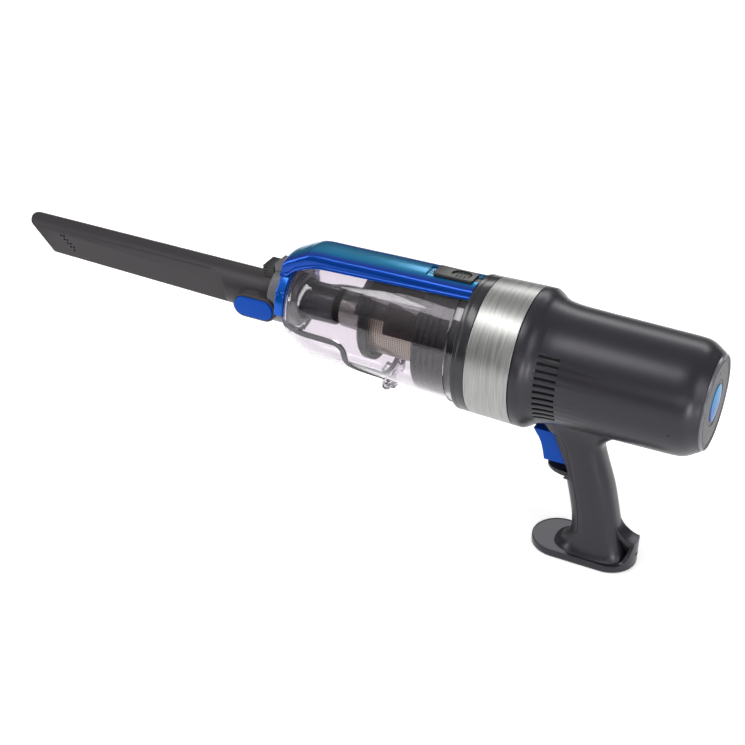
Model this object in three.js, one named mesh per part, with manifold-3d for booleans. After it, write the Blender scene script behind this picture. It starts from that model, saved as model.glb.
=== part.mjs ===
// Cordless handheld vacuum with a clear dust bin, a cyclone, a pistol grip and a crevice tool.
// Millimetres, +Z up, +X to the rear. The origin is the centre of the foot's underside.
// Everything is drawn in the barrel's frame: x = 0 at the silver band's front edge, z = 0 on the
// barrel's axis. The group at the end carries that frame to the foot's origin.
import * as THREE from 'three';
import { mergeVertices } from 'three/addons/utils/BufferGeometryUtils.js';
import Module from 'manifold-3d';

const wasm = await Module();
wasm.setup();

// ---- Driving dimensions ---------------------------------------------------------------------

const GAP = 0.3; // clearance between pieces that touch
const TURNS = 32; // facets around the barrel
const TURNS_SMALL = 16; // facets around small round pieces
const CRUMB = 0.2; // cubic millimetres

// Whole object
const AXIS_HEIGHT = 160; // barrel axis above the foot's underside
const WALL = 2.5; // housing wall

// Silver band and motor barrel
const BAND_LENGTH = 34.3;
const BAND_WALL = 1.5;
const BARREL_R = 53.2; // widest, at the silver band
const NECK_R = 45.1; // behind the shoulder
const NECK_X = 66; // end of the shoulder's curve
const TAIL_R = 43.6; // rear end of the straight part
const BARREL_LENGTH = 173; // band's front edge to the rear face
const TAIL_ROUND = 20; // length of the rounded rear edge
const VENT_COUNT = 11;
const VENT_LENGTH = 16.5;
const VENT_WIDTH = 2.8;
const VENT_START_X = 51;
const VENT_FIRST_DEG = 57; // from the top, down each side
const VENT_LAST_DEG = 123;

// Rear cap
const CAP_RING_R = 35.6;
const CAP_R = 33.9;
const BUTTON_R = 13.8;
const BUTTON_TRAVEL = 1.2;

// Front collar of the body
const COLLAR_LENGTH = 10.7;
const COLLAR_BORE_R = 45.5;

// Dust bin
const BIN_LENGTH = 161; // band's front edge to the bin's front face
const BIN_WALL = 2.3;
const BIN_REAR_R = 47.5;
const BIN_FRONT_R = 43.1; // where the rounded nose begins
const BIN_NOSE = 26; // length of the rounded nose
const BIN_FACE_R = 31; // flat front face
const BIN_LIP_LENGTH = 7;
const BIN_LIP_R = 51.8;
const SEAL_WIDTH = 4.2;
const SEAL_PROUD = 0.6;
const HINGE_X = -79; // door hinge, from the band's front edge
const HINGE_R = 4;
const HINGE_PIN_R = 1.4;
const HINGE_HALF = 15;

// Inlet and crevice tool
const INLET_R = 24;
const INLET_BORE_R = 17.2;
const INLET_LENGTH = 19.5;
const SPIGOT_CLEARANCE = 0.4;
const TOOL_LENGTH = 240; // inlet's front face to the tool's tip
const TOOL_WALL = 2;
const TOOL_TIP_R = 14.6;
const TOOL_DROP = 3; // the tool's root sits this far below the axis
const TOOL_HALF_THICK = 10; // flats on both sides
const TOOL_NECK = 42; // round part between the inlet and the flats
const POD_LENGTH = 38.5;
const POD_HEIGHT = 20.5;
const POD_DROP = 5;
const POD_OUT = 26.5; // the pod's face, from the axis
const RIM = 1.6;

// Spine cover and bracket
const SPINE_HALF = 19;
const SPINE_HEIGHT = 4; // above the bin
const SPINE_OVERHANG = 9; // ahead of the bin's face
const LATCH_LENGTH = 31.7;
const LATCH_HALF = 7.6;
const LATCH_TRAVEL = 5;
const LATCH_REAR_X = -15;
const BRACKET_INNER_R = 24.8;
const BRACKET_OUTER_R = 31;
const BRACKET_LENGTH = 7.4;
const LEVER_PIVOT_DEG = 62; // from the top, on the near side
const LEVER_END_DEG = 96;

// Cyclone
const SHROUD_RING_R = 33.5;
const MESH_R = 27;
const CONE_R = 16.5;
const RIBBED_R = 43.6;
const RIBBED_FRONT_X = -46;

// Motor and battery
const MOTOR_R = 33;
const FAN_X = 30.5;
const MOTOR_REAR_X = 80;
const SHAFT_R = 2.5;
const CELL_R = 9.1;
const CELL_LENGTH = 65;
const CELL_PITCH = 19.2;
const CELL_FRONT_X = 92;

// Grip, trigger and foot
const GRIP_HALF_WIDTH = 15;
const GRIP_WALL = 2.4;
const FOOT_FRONT_X = 46.5;
const FOOT_REAR_X = 131;
const FOOT_HALF_WIDTH = 22.3;
const FOOT_THICKNESS = 6;
const HEEL_HEIGHT = 16;
const PLATE_THICKNESS = 2;
const TRIGGER_HALF = 9.6;
const TRIGGER_PIN_X = 65.3;
const TRIGGER_PIN_Z = -58.5;

// ---- Values that follow -----------------------------------------------------------------------

const FOOT_CENTRE_X = (FOOT_FRONT_X + FOOT_REAR_X) / 2;
const FLOOR_Z = -AXIS_HEIGHT;
const FOOT_TOP_Z = FLOOR_Z + FOOT_THICKNESS;
const BAND_SEAT_R = BARREL_R - BAND_WALL - GAP;
const SLEEVE_BORE_R = BAND_SEAT_R - WALL;
const BIN_X = -BIN_LENGTH;
const BIN_REAR_X = -COLLAR_LENGTH - GAP;
const INLET_X = BIN_X - INLET_LENGTH;
const SPIGOT_R = INLET_BORE_R - SPIGOT_CLEARANCE;
const TOOL_TIP_X = INLET_X - TOOL_LENGTH;
const HINGE_Z = -(BIN_REAR_R + HINGE_R - 1);

// ---- Materials --------------------------------------------------------------------------------

const finish = (color, roughness, metalness, opacity = 1) =>
  new THREE.MeshStandardMaterial({ color, roughness, metalness, opacity, transparent: opacity < 1 });
const gunmetal = () => finish(0x4b4a52, 0.38, 0.45);
const darkPlastic = () => finish(0x38363b, 0.55, 0);
const greyPlastic = () => finish(0x6d6c72, 0.5, 0);
const blackPlastic = () => finish(0x141417, 0.45, 0);
const bluePlastic = () => finish(0x0c4fa8, 0.28, 0.1);
const blueMetallic = () => finish(0x0a62b4, 0.18, 0.6);
const clearPlastic = () => finish(0xd5d2d8, 0.06, 0, 0.35);
const smokyPlastic = () => finish(0x4a444c, 0.15, 0, 0.7);
const rubber = () => finish(0x55545a, 0.75, 0);
const steel = () => finish(0xb9bbbd, 0.32, 1);
const brushed = () => finish(0xb4b4b2, 0.35, 1);
const copper = () => finish(0xb0703a, 0.35, 1);
const board = () => finish(0x1f5a3a, 0.5, 0);
const paper = () => finish(0xe6e3da, 0.9, 0);
const sleeve = () => finish(0x2f7a8c, 0.4, 0.1);

// ---- Solids -----------------------------------------------------------------------------------

// A closed three.js geometry as a solid that can be joined and cut.
function solid(geometry) {
  const bare = geometry.clone();
  bare.deleteAttribute('normal');
  bare.deleteAttribute('uv');
  const merged = mergeVertices(bare, 1e-4);
  const corners = merged.getIndex().array;
  const triangles = [];
  for (let i = 0; i < corners.length; i += 3) {
    const [a, b, c] = [corners[i], corners[i + 1], corners[i + 2]];
    if (a !== b && b !== c && c !== a) triangles.push(a, b, c);
  }
  const points = merged.getAttribute('position').array;
  if (signedVolume(points, triangles) < 0) triangles.reverse();
  return new wasm.Manifold(new wasm.Mesh({
    numProp: 3,
    vertProperties: Float32Array.from(points),
    triVerts: Uint32Array.from(triangles),
  }));
}

function signedVolume(points, triangles) {
  const at = (index) => new THREE.Vector3().fromArray(points, index * 3);
  let total = 0;
  for (let i = 0; i < triangles.length; i += 3) {
    total += at(triangles[i]).dot(at(triangles[i + 1]).cross(at(triangles[i + 2])));
  }
  return total / 6;
}

const join = (first, ...others) => others.reduce((whole, piece) => whole.add(piece), first);
const cut = (first, ...others) => others.reduce((whole, piece) => whole.subtract(piece), first);

// A solid turned from an outline of [x, radius] points around the barrel's axis.
function turned(outline, turns = TURNS) {
  const points = outline.map(([x, r]) => new THREE.Vector2(r, x));
  const [first, last] = [outline[0], outline[outline.length - 1]];
  if (first[1] > 0 || last[1] > 0) points.push(points[0].clone());
  const geometry = new THREE.LatheGeometry(points, turns);
  geometry.rotateZ(-Math.PI / 2);
  return solid(geometry);
}

// A ring between two radii.
const ring = (x0, x1, inner, outer, turns = TURNS) =>
  turned([[x0, inner], [x0, outer], [x1, outer], [x1, inner]], turns);

// A round disc or bar on the barrel's axis.
const disc = (x0, x1, r, turns = TURNS) => turned([[x0, 0], [x0, r], [x1, r], [x1, 0]], turns);

function box(x0, x1, y0, y1, z0, z1) {
  const geometry = new THREE.BoxGeometry(x1 - x0, y1 - y0, z1 - z0);
  geometry.translate((x0 + x1) / 2, (y0 + y1) / 2, (z0 + z1) / 2);
  return solid(geometry);
}

// A round bar along Y, from y0 to y1.
function barY(x, z, r, y0, y1, turns = TURNS_SMALL) {
  const geometry = new THREE.CylinderGeometry(r, r, y1 - y0, turns);
  geometry.translate(x, (y0 + y1) / 2, z);
  return solid(geometry);
}

// A round bar along Z, from z0 to z1.
function barZ(x, y, r, z0, z1, turns = TURNS_SMALL) {
  const geometry = new THREE.CylinderGeometry(r, r, z1 - z0, turns);
  geometry.rotateX(Math.PI / 2);
  geometry.translate(x, y, (z0 + z1) / 2);
  return solid(geometry);
}

// A round bar along X, from x0 to x1.
function barX(y, z, r, x0, x1, turns = TURNS_SMALL) {
  const geometry = new THREE.CylinderGeometry(r, r, x1 - x0, turns);
  geometry.rotateZ(Math.PI / 2);
  geometry.translate((x0 + x1) / 2, y, z);
  return solid(geometry);
}

const outlineOf = (points) => new THREE.Shape(points.map(([a, b]) => new THREE.Vector2(a, b)));

function extruded(shape, depth, bevel) {
  return new THREE.ExtrudeGeometry(shape, {
    depth: depth - 2 * bevel,
    bevelEnabled: bevel > 0,
    bevelThickness: bevel,
    bevelSize: bevel,
    bevelOffset: -bevel,
    bevelSegments: 2,
    curveSegments: 6,
  }).translate(0, 0, bevel);
}

// A side view (x, z) carried through from y0 to y1, with rounded edges where bevel is given.
function sideways(shape, y0, y1, bevel = 0) {
  const geometry = extruded(shape, y1 - y0, bevel);
  geometry.rotateX(Math.PI / 2);
  geometry.translate(0, y1, 0);
  return solid(geometry);
}

// A plan view (x, y) carried up from z0 to z1.
function upright(shape, z0, z1, bevel = 0) {
  const geometry = extruded(shape, z1 - z0, bevel);
  geometry.translate(0, 0, z0);
  return solid(geometry);
}

// A front view (y, z) carried back from x0 to x1.
function lengthways(shape, x0, x1) {
  const geometry = extruded(shape, x1 - x0, 0);
  const turn = new THREE.Matrix4().makeBasis(
    new THREE.Vector3(0, 1, 0), new THREE.Vector3(0, 0, 1), new THREE.Vector3(1, 0, 0));
  geometry.applyMatrix4(turn);
  geometry.translate(x0, 0, 0);
  return solid(geometry);
}

// An outline with two half-round ends, longer along its first direction.
function stadium(start, end, low, high) {
  const r = (high - low) / 2;
  const middle = (high + low) / 2;
  const shape = new THREE.Shape();
  shape.absarc(end - r, middle, r, -Math.PI / 2, Math.PI / 2);
  shape.absarc(start + r, middle, r, Math.PI / 2, 3 * Math.PI / 2);
  return shape;
}

// A coil spring along X, centred on y and z.
function springX(x0, x1, y, z, coilR, wireR, turns) {
  class Helix extends THREE.Curve {
    getPoint(t, target = new THREE.Vector3()) {
      const angle = t * turns * 2 * Math.PI;
      const x = THREE.MathUtils.lerp(x0 + wireR, x1 - wireR, t);
      return target.set(x, y + coilR * Math.cos(angle), z + coilR * Math.sin(angle));
    }
  }
  const section = new THREE.Shape().absarc(0, 0, wireR, 0, 2 * Math.PI);
  return solid(new THREE.ExtrudeGeometry(section, {
    steps: turns * 8, curveSegments: 2, bevelEnabled: false, extrudePath: new Helix(),
  }));
}

// A wedge that keeps the angles from `from` to `to` degrees, measured from the top towards -Y.
function sector(from, to, x0, x1, reach = 2 * BARREL_R) {
  const steps = Math.max(1, Math.ceil((to - from) / 30));
  const points = [[0, 0]];
  for (let i = 0; i <= steps; i += 1) {
    const angle = THREE.MathUtils.degToRad(THREE.MathUtils.lerp(from, to, i / steps));
    points.push([-reach * Math.sin(angle), reach * Math.cos(angle)]);
  }
  return lengthways(outlineOf(points), x0, x1);
}

// A body with oval sections stacked along Z: stations are [z, front x, back x, half width].
function stacked(stations, inset, rows, around = 28, squareness = 2.6) {
  const curve = new THREE.SplineCurve(stations.map(([z, front]) => new THREE.Vector2(z, front)));
  const rear = new THREE.SplineCurve(stations.map(([z, , back]) => new THREE.Vector2(z, back)));
  const width = new THREE.SplineCurve(stations.map(([z, , , half]) => new THREE.Vector2(z, half)));
  const geometry = new THREE.CylinderGeometry(1, 1, 1, around, rows);
  geometry.rotateX(Math.PI / 2);
  const position = geometry.getAttribute('position');
  const oval = (value) => Math.sign(value) * Math.abs(value) ** (2 / squareness);
  for (let i = 0; i < position.count; i += 1) {
    const t = 0.5 - position.getZ(i);
    const [x0, x1] = [curve.getPoint(t).y + inset, rear.getPoint(t).y - inset];
    const x = (x0 + x1) / 2 + oval(position.getX(i)) * (x1 - x0) / 2;
    const y = oval(position.getY(i)) * (width.getPoint(t).y - inset);
    position.setXYZ(i, x, y, curve.getPoint(t).x);
  }
  return solid(geometry);
}

const barrel = new THREE.Group();
barrel.position.set(-FOOT_CENTRE_X, 0, AXIS_HEIGHT);

// Adds a solid to the object as a named mesh, without the crumbs that grazing cuts leave.
function add(name, piece, material) {
  const bodies = piece.decompose().filter((body) => body.volume() > CRUMB);
  const mesh = wasm.Manifold.compose(bodies).getMesh();
  const geometry = new THREE.BufferGeometry();
  geometry.setAttribute('position', new THREE.BufferAttribute(mesh.vertProperties, 3));
  geometry.setIndex(new THREE.BufferAttribute(mesh.triVerts, 1));
  geometry.computeVertexNormals();
  const object = new THREE.Mesh(geometry, material);
  object.name = name;
  barrel.add(object);
}

// ---- Shared outlines --------------------------------------------------------------------------

// The bin's outside, as [x, radius] points from the front face to the lip.
const binOutline = (inset) => [
  [BIN_X + inset, BIN_FACE_R - inset * 0.8],
  [BIN_X + BIN_NOSE * 0.12 + inset * 0.85, BIN_FACE_R + 4.2 - inset * 0.8],
  [BIN_X + BIN_NOSE * 0.35 + inset * 0.6, BIN_FRONT_R - 5.3 - inset * 0.8],
  [BIN_X + BIN_NOSE * 0.68 + inset * 0.3, BIN_FRONT_R - 1.5 - inset * 0.95],
  [BIN_X + BIN_NOSE, BIN_FRONT_R - inset],
  [BIN_REAR_X - BIN_LIP_LENGTH, BIN_REAR_R - inset],
];

// The barrel's outside behind the silver band.
const shellOutline = (inset) => {
  const tail = BARREL_LENGTH - TAIL_ROUND;
  return [
    [BAND_LENGTH + 6.7, BARREL_R - inset],
    [BAND_LENGTH + 9, BARREL_R - 1.5 - inset],
    [BAND_LENGTH + 16.3, NECK_R + 1.9 - inset],
    [BAND_LENGTH + 23.7, NECK_R + 0.7 - inset],
    [NECK_X, NECK_R - inset],
    [tail, TAIL_R - inset],
    [tail + TAIL_ROUND * 0.28, TAIL_R - 0.7 - inset],
    [tail + TAIL_ROUND * 0.5, TAIL_R - 2.4 - inset],
    [tail + TAIL_ROUND * 0.7, TAIL_R - 4.9 - inset * 0.8],
    [BARREL_LENGTH - 3, CAP_RING_R + 1.2],
  ];
};

// The part of the side view below and ahead of the door's seam, grown by `offset`.
function doorRegion(offset) {
  const top = -6;
  const stepX = -102.5;
  const corner = 8;
  const sweep = 12;
  const slope = THREE.MathUtils.degToRad(72);
  const shape = new THREE.Shape();
  shape.moveTo(BIN_X - 20, -2 * BARREL_R);
  shape.lineTo(BIN_X - 20, top + offset);
  shape.lineTo(stepX - corner, top + offset);
  shape.absarc(stepX - corner, top - corner, corner + offset, Math.PI / 2, 0, true);
  shape.lineTo(stepX + offset, top - 16);
  shape.absarc(stepX + sweep, top - 16, sweep - offset, Math.PI, Math.PI + slope, false);
  const end = new THREE.Vector2(HINGE_X + offset, -2 * BARREL_R);
  const run = end.x - (stepX + sweep - (sweep - offset) * Math.cos(slope));
  const fall = top - 16 - (sweep - offset) * Math.sin(slope) - run / Math.tan(slope);
  shape.lineTo(end.x, fall);
  shape.lineTo(end.x, end.y);
  return shape;
}

// The bin's outside as one full solid, grown or shrunk by `inset`.
const binSolid = (inset) => turned([
  [BIN_X + inset, 0], ...binOutline(inset), [BIN_REAR_X, BIN_REAR_R - inset], [BIN_REAR_X, 0],
]);

// ---- Crevice tool -----------------------------------------------------------------------------

const NECK_START_X = INLET_X - 8;
const POD_REAR_X = BIN_X - SEAL_PROUD - GAP - BRACKET_LENGTH - 1.5;
const POD_PIN_X = INLET_X - 8.5;
const POD_PIN_Y = -POD_OUT + 3.4;

// A round tube on a centre line that drops from the tip to the neck.
function toolTube(inset, x0, x1) {
  const length = x1 - x0;
  const geometry = new THREE.CylinderGeometry(TOOL_TIP_R - inset, SPIGOT_R - inset, length, 24);
  geometry.rotateZ(Math.PI / 2);
  geometry.translate((x0 + x1) / 2, 0, 0);
  const position = geometry.getAttribute('position');
  for (let i = 0; i < position.count; i += 1) {
    const along = (position.getX(i) - x0) / length;
    position.setZ(i, position.getZ(i) - TOOL_DROP * along);
  }
  return solid(geometry);
}

// What the two side flats take away, with a rounded upper rear corner.
function toolFlats(inset) {
  const rear = INLET_X - TOOL_NECK;
  const low = -2 * TOOL_TIP_R;
  const shape = new THREE.Shape();
  shape.moveTo(TOOL_TIP_X - 10, low);
  shape.lineTo(rear, low);
  shape.absellipse(rear - 16, -2, 16, 13, 0, Math.PI / 2, false, 0);
  shape.lineTo(TOOL_TIP_X - 10, 11);
  const flat = TOOL_HALF_THICK - inset;
  const reach = 3 * TOOL_TIP_R;
  return join(sideways(shape, flat, reach), sideways(shape, -reach, -flat));
}

function podOutline(inset) {
  const [low, high] = [-POD_DROP - POD_HEIGHT / 2, -POD_DROP + POD_HEIGHT / 2];
  return stadium(POD_REAR_X - POD_LENGTH + inset, POD_REAR_X - inset, low + inset, high - inset);
}

// The slanted mouth and the nine bleed holes behind it.
function toolOpenings() {
  const mouth = outlineOf([
    [TOOL_TIP_X - 20, 40], [TOOL_TIP_X - 4, 20], [TOOL_TIP_X + 27, -12],
    [TOOL_TIP_X + 34, -16.5], [TOOL_TIP_X + 34, -40], [TOOL_TIP_X - 20, -40],
  ]);
  const pieces = [sideways(mouth, -40, 40)];
  for (let i = 0; i < 9; i += 1) {
    const row = Math.floor(i / 2);
    const x = TOOL_TIP_X + 35 + row * 3.1 + (i % 2) * 2.9;
    pieces.push(barY(x, 5.5 - row * 2.8, 0.9, -20, 20, 6));
  }
  return pieces;
}

function creviceTool() {
  const root = BIN_X - 2;
  const tube = join(toolTube(0, TOOL_TIP_X, NECK_START_X),
    barX(0, 0, SPIGOT_R, NECK_START_X - 3, root, 24));
  const duct = join(toolTube(TOOL_WALL, TOOL_TIP_X - 1, NECK_START_X),
    barX(0, 0, SPIGOT_R - TOOL_WALL, NECK_START_X - 3, root + 1, 24));
  const bore = cut(duct, toolFlats(TOOL_WALL));
  const pod = cut(sideways(podOutline(0), -POD_OUT, 0),
    disc(INLET_X - GAP, POD_REAR_X + 5, INLET_R + 0.6, 24));
  const pocket = sideways(podOutline(RIM), -POD_OUT - 1, -POD_OUT + 6);
  const pinHole = barZ(POD_PIN_X, POD_PIN_Y, 1.3, -POD_DROP - POD_HEIGHT / 2 + 0.6, 20, 12);
  const body = join(cut(tube, toolFlats(0)), pod);
  return cut(body, bore, pocket, pinHole, ...toolOpenings());
}

function releaseButton() {
  const cap = sideways(podOutline(RIM + 0.5), -POD_OUT - 1.4, -POD_OUT + 1.5, 0.9);
  const [low, high] = [-POD_DROP - 6, -POD_DROP + 6];
  const lug = box(POD_PIN_X - 2.6, POD_PIN_X + 2.6, -POD_OUT + 1, POD_PIN_Y + 2.4, low, high);
  return cut(join(cap, lug), barZ(POD_PIN_X, POD_PIN_Y, 1.3, low - 9, high + 9, 12));
}

function contactPlug() {
  let plug = box(INLET_X - 11, INLET_X - GAP, -8.5, 8.5, 8, 24.8);
  for (const z of [17.5, 20, 22.5]) {
    plug = cut(plug, box(INLET_X - 12, INLET_X - 6, -9.5, -7.7, z, z + 1.1));
  }
  return cut(plug, toolTube(-GAP, TOOL_TIP_X, NECK_START_X + 1),
    disc(NECK_START_X - 4, INLET_X + 1, SPIGOT_R + GAP, 32));
}

add('crevice_tool_body', creviceTool(), darkPlastic());
add('tool_release_button', releaseButton(), bluePlastic());
const pinTop = -POD_DROP + POD_HEIGHT / 2 - 0.6;
add('tool_button_pin', barZ(POD_PIN_X, POD_PIN_Y, 1.2, -POD_DROP * 2 - pinTop, pinTop, 12), steel());
add('tool_contact_plug', contactPlug(), blackPlastic());

// ---- Inlet collar, contacts, bracket and lever ------------------------------------------------

const STUB_R = 20;
const BRACKET_REAR_X = BIN_X - SEAL_PROUD - GAP;
const BRACKET_X = BRACKET_REAR_X - BRACKET_LENGTH;
const BLOCK_HALF = 8.5;
const BLOCK_LOW_Z = 19.3;
const BLOCK_HIGH_Z = 28.6;

function inletCollar() {
  const collar = turned([
    [INLET_X, INLET_BORE_R], [INLET_X, INLET_R - 0.6], [INLET_X + 0.6, INLET_R],
    [BIN_X - GAP, INLET_R], [BIN_X - GAP, STUB_R], [BIN_X + 5, STUB_R], [BIN_X + 5, INLET_BORE_R],
  ], 28);
  const seat = box(INLET_X - 1, BRACKET_X, -BLOCK_HALF - GAP, BLOCK_HALF + GAP, BLOCK_LOW_Z - GAP, 40);
  return cut(collar, seat);
}

function contactBlock() {
  const block = box(INLET_X, BRACKET_X - GAP, -BLOCK_HALF, BLOCK_HALF, BLOCK_LOW_Z, BLOCK_HIGH_Z);
  return cut(block, box(INLET_X - 1, INLET_X + 4, -6, 6, BLOCK_LOW_Z + 2, BLOCK_HIGH_Z - 2.4),
    box(BRACKET_X - 5, BRACKET_X - 2.5, -3, 3, BLOCK_HIGH_Z - 1.5, BLOCK_HIGH_Z + 1));
}

// The bracket carries a short release lever on a peg, each with half of the joint's thickness.
const pivotAngle = THREE.MathUtils.degToRad(LEVER_PIVOT_DEG);
const BRACKET_MID_R = (BRACKET_INNER_R + BRACKET_OUTER_R) / 2;
const PIVOT_Y = -BRACKET_MID_R * Math.sin(pivotAngle);
const PIVOT_Z = BRACKET_MID_R * Math.cos(pivotAngle);
const EYE_R = (BRACKET_OUTER_R - BRACKET_INNER_R) / 2;
const BRACKET_MID_X = (BRACKET_X + BRACKET_REAR_X) / 2;
const eye = (r, x0, x1) => barX(PIVOT_Y, PIVOT_Z, r, x0, x1, 16);

function bracketArc(from, to) {
  return sector(from, to, BRACKET_X, BRACKET_REAR_X)
    .intersect(ring(BRACKET_X, BRACKET_REAR_X, BRACKET_INNER_R, BRACKET_OUTER_R));
}

function frontBracket() {
  const arc = cut(bracketArc(-LEVER_END_DEG, LEVER_PIVOT_DEG),
    eye(EYE_R + 0.5, BRACKET_MID_X - GAP / 2, BRACKET_REAR_X + 1));
  return join(arc, eye(EYE_R, BRACKET_X, BRACKET_MID_X - GAP / 2), eye(1.4, BRACKET_X, BRACKET_REAR_X));
}

function releaseLever() {
  const arc = cut(bracketArc(LEVER_PIVOT_DEG, LEVER_END_DEG),
    eye(EYE_R + 0.5, BRACKET_X - 1, BRACKET_MID_X + GAP / 2));
  return cut(join(arc, eye(EYE_R, BRACKET_MID_X + GAP / 2, BRACKET_REAR_X)),
    eye(1.5, BRACKET_X - 1, BRACKET_REAR_X + 1));
}

add('inlet_collar', inletCollar(), greyPlastic());
add('inlet_contact_block', contactBlock(), greyPlastic());
add('front_bracket', frontBracket(), blueMetallic());
add('door_release_lever', releaseLever(), blueMetallic());

// ---- Spine cover, ribbon and bin latch --------------------------------------------------------

const SPINE_FRONT_X = BIN_X - SPINE_OVERHANG;
const SPINE_REAR_R = BIN_REAR_R + SPINE_HEIGHT + 0.6;
const POCKET_FLOOR_Z = BIN_REAR_R + 1.9;
const LATCH_FRONT_X = LATCH_REAR_X - LATCH_LENGTH;
const TONGUE_HALF = 3.5;
const TONGUE_Z = POCKET_FLOOR_Z + GAP;

const strip = (half, x0, x1, z1 = 2 * BARREL_R) => box(x0, x1, -half, half, 0, z1);

function spineCover() {
  const crown = BIN_FRONT_R + 6.4;
  const outside = turned([
    [SPINE_FRONT_X, 0], [SPINE_FRONT_X, BRACKET_OUTER_R + 5], [BIN_X - 5, BIN_FRONT_R - 3],
    [BIN_X, BIN_FRONT_R - 0.4], [BIN_X + 9, BIN_FRONT_R + 4], [BIN_X + 18, crown],
    [BIN_X + 43, crown + 0.4], [BIN_REAR_X - GAP, SPINE_REAR_R], [BIN_REAR_X - GAP, 0],
  ]);
  const bed = join(binSolid(-GAP), disc(SPINE_FRONT_X - 1, BIN_X, BRACKET_OUTER_R + GAP));
  const channel = binSolid(-1.6).intersect(strip(7.5, BIN_X + 6, BIN_REAR_X - 12));
  const pocket = box(LATCH_FRONT_X - LATCH_TRAVEL - 1, LATCH_REAR_X + GAP,
    -LATCH_HALF - GAP, LATCH_HALF + GAP, POCKET_FLOOR_Z, 2 * BARREL_R);
  const slot = box(LATCH_REAR_X - 1, 0, -TONGUE_HALF - GAP, TONGUE_HALF + GAP,
    POCKET_FLOOR_Z, 2 * BARREL_R);
  return cut(outside.intersect(strip(SPINE_HALF, SPINE_FRONT_X - 1, 0)), bed, channel, pocket, slot);
}

function contactRibbon() {
  return cut(binSolid(-1.3), binSolid(-0.7)).intersect(strip(7, BIN_X + 8, BIN_REAR_X - 14));
}

function binLatch() {
  const top = SPINE_REAR_R + 1.2;
  const slab = box(LATCH_FRONT_X, LATCH_REAR_X, -LATCH_HALF, LATCH_HALF, TONGUE_Z, top);
  const edge = upright(outlineOf([
    [LATCH_FRONT_X, -LATCH_HALF + 2], [LATCH_FRONT_X + 2, -LATCH_HALF], [LATCH_REAR_X - 2, -LATCH_HALF],
    [LATCH_REAR_X, -LATCH_HALF + 2], [LATCH_REAR_X, LATCH_HALF - 2], [LATCH_REAR_X - 2, LATCH_HALF],
    [LATCH_FRONT_X + 2, LATCH_HALF], [LATCH_FRONT_X, LATCH_HALF - 2],
  ]), 0, 2 * BARREL_R);
  const recess = box(LATCH_REAR_X - 18, LATCH_REAR_X - 3, -LATCH_HALF + 2.4, LATCH_HALF - 2.4,
    top - 1.6, top + 1);
  const tongue = box(LATCH_REAR_X - 3, -COLLAR_LENGTH + 2.6, -TONGUE_HALF, TONGUE_HALF,
    TONGUE_Z, TONGUE_Z + 1.6);
  return join(cut(slab.intersect(edge), recess), tongue);
}

add('spine_cover', spineCover(), blueMetallic());
add('contact_ribbon', contactRibbon(), copper());
add('bin_latch', binLatch(), blackPlastic());
add('latch_spring', springX(LATCH_FRONT_X - LATCH_TRAVEL - 0.7, LATCH_FRONT_X - 0.3, 0,
  POCKET_FLOOR_Z + 1.6, 1.1, 0.25, 3), steel());

// ---- Dust bin, door and seal ------------------------------------------------------------------

const SEAM_HALF = SEAL_WIDTH / 2 + GAP;

// The space that the door takes, grown by `offset`. It leaves the inlet alone.
function doorZone(offset) {
  return cut(sideways(doorRegion(offset), -2 * BARREL_R, 2 * BARREL_R),
    disc(BIN_X - 25, BIN_X + 12, INLET_R + 3 - offset));
}

function binSkin() {
  const inner = binOutline(BIN_WALL).reverse();
  return turned([
    [BIN_X, STUB_R + GAP], ...binOutline(0),
    [BIN_REAR_X - BIN_LIP_LENGTH, BIN_LIP_R], [BIN_REAR_X, BIN_LIP_R],
    [BIN_REAR_X, BIN_REAR_R - BIN_WALL], ...inner, [BIN_X + BIN_WALL, STUB_R + GAP],
  ]);
}

// A hinge knuckle between y0 and y1 with its web, which lies towards `side` of the pin.
function knuckle(y0, y1, side) {
  const web = [HINGE_X + side * 2.6, HINGE_X + side * 7.5].sort((a, b) => a - b);
  const piece = join(barY(HINGE_X, HINGE_Z, HINGE_R, y0, y1), box(...web, y0, y1, HINGE_Z - 1, HINGE_Z + 10));
  return cut(piece, binSolid(BIN_WALL), barY(HINGE_X, HINGE_Z, HINGE_PIN_R + 0.1, y0 - 1, y1 + 1));
}

function binShell() {
  const spineRoom = strip(SPINE_HALF + GAP, BIN_REAR_X - BIN_LIP_LENGTH - 1, 0)
    .intersect(ring(BIN_REAR_X - BIN_LIP_LENGTH - 1, 0, BIN_REAR_R, 2 * BARREL_R));
  const [inner, outer] = [HINGE_HALF / 2, HINGE_HALF];
  return cut(join(cut(binSkin(), doorZone(SEAM_HALF)), knuckle(inner, outer, 1), knuckle(-outer, -inner, 1)),
    spineRoom);
}

function dustDoor() {
  const catchNib = box(BIN_X - 2, BIN_X + 5, -34, -30, -18, -13);
  const reach = HINGE_HALF / 2 - GAP;
  return join(binSkin().intersect(doorZone(-SEAM_HALF)), catchNib, knuckle(-reach, reach, -1));
}

function doorSeal() {
  const band = cut(binSolid(-SEAL_PROUD), binSolid(BIN_WALL),
    disc(BIN_X - 5, BIN_X + BIN_WALL + 1, STUB_R + GAP));
  return band.intersect(cut(doorZone(SEAM_HALF - GAP), doorZone(GAP - SEAM_HALF)));
}

add('bin_shell', binShell(), clearPlastic());
add('dust_door', dustDoor(), clearPlastic());
add('door_seal', doorSeal(), rubber());
add('door_hinge_pin', barY(HINGE_X, HINGE_Z, HINGE_PIN_R, -HINGE_HALF - 0.6, HINGE_HALF + 0.6), steel());

// ---- Cyclone ----------------------------------------------------------------------------------

const CONE_REAR_X = RIBBED_FRONT_X - 51;
const RING_DEPTH = 9;
const COVER_R = 39.5;

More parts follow.
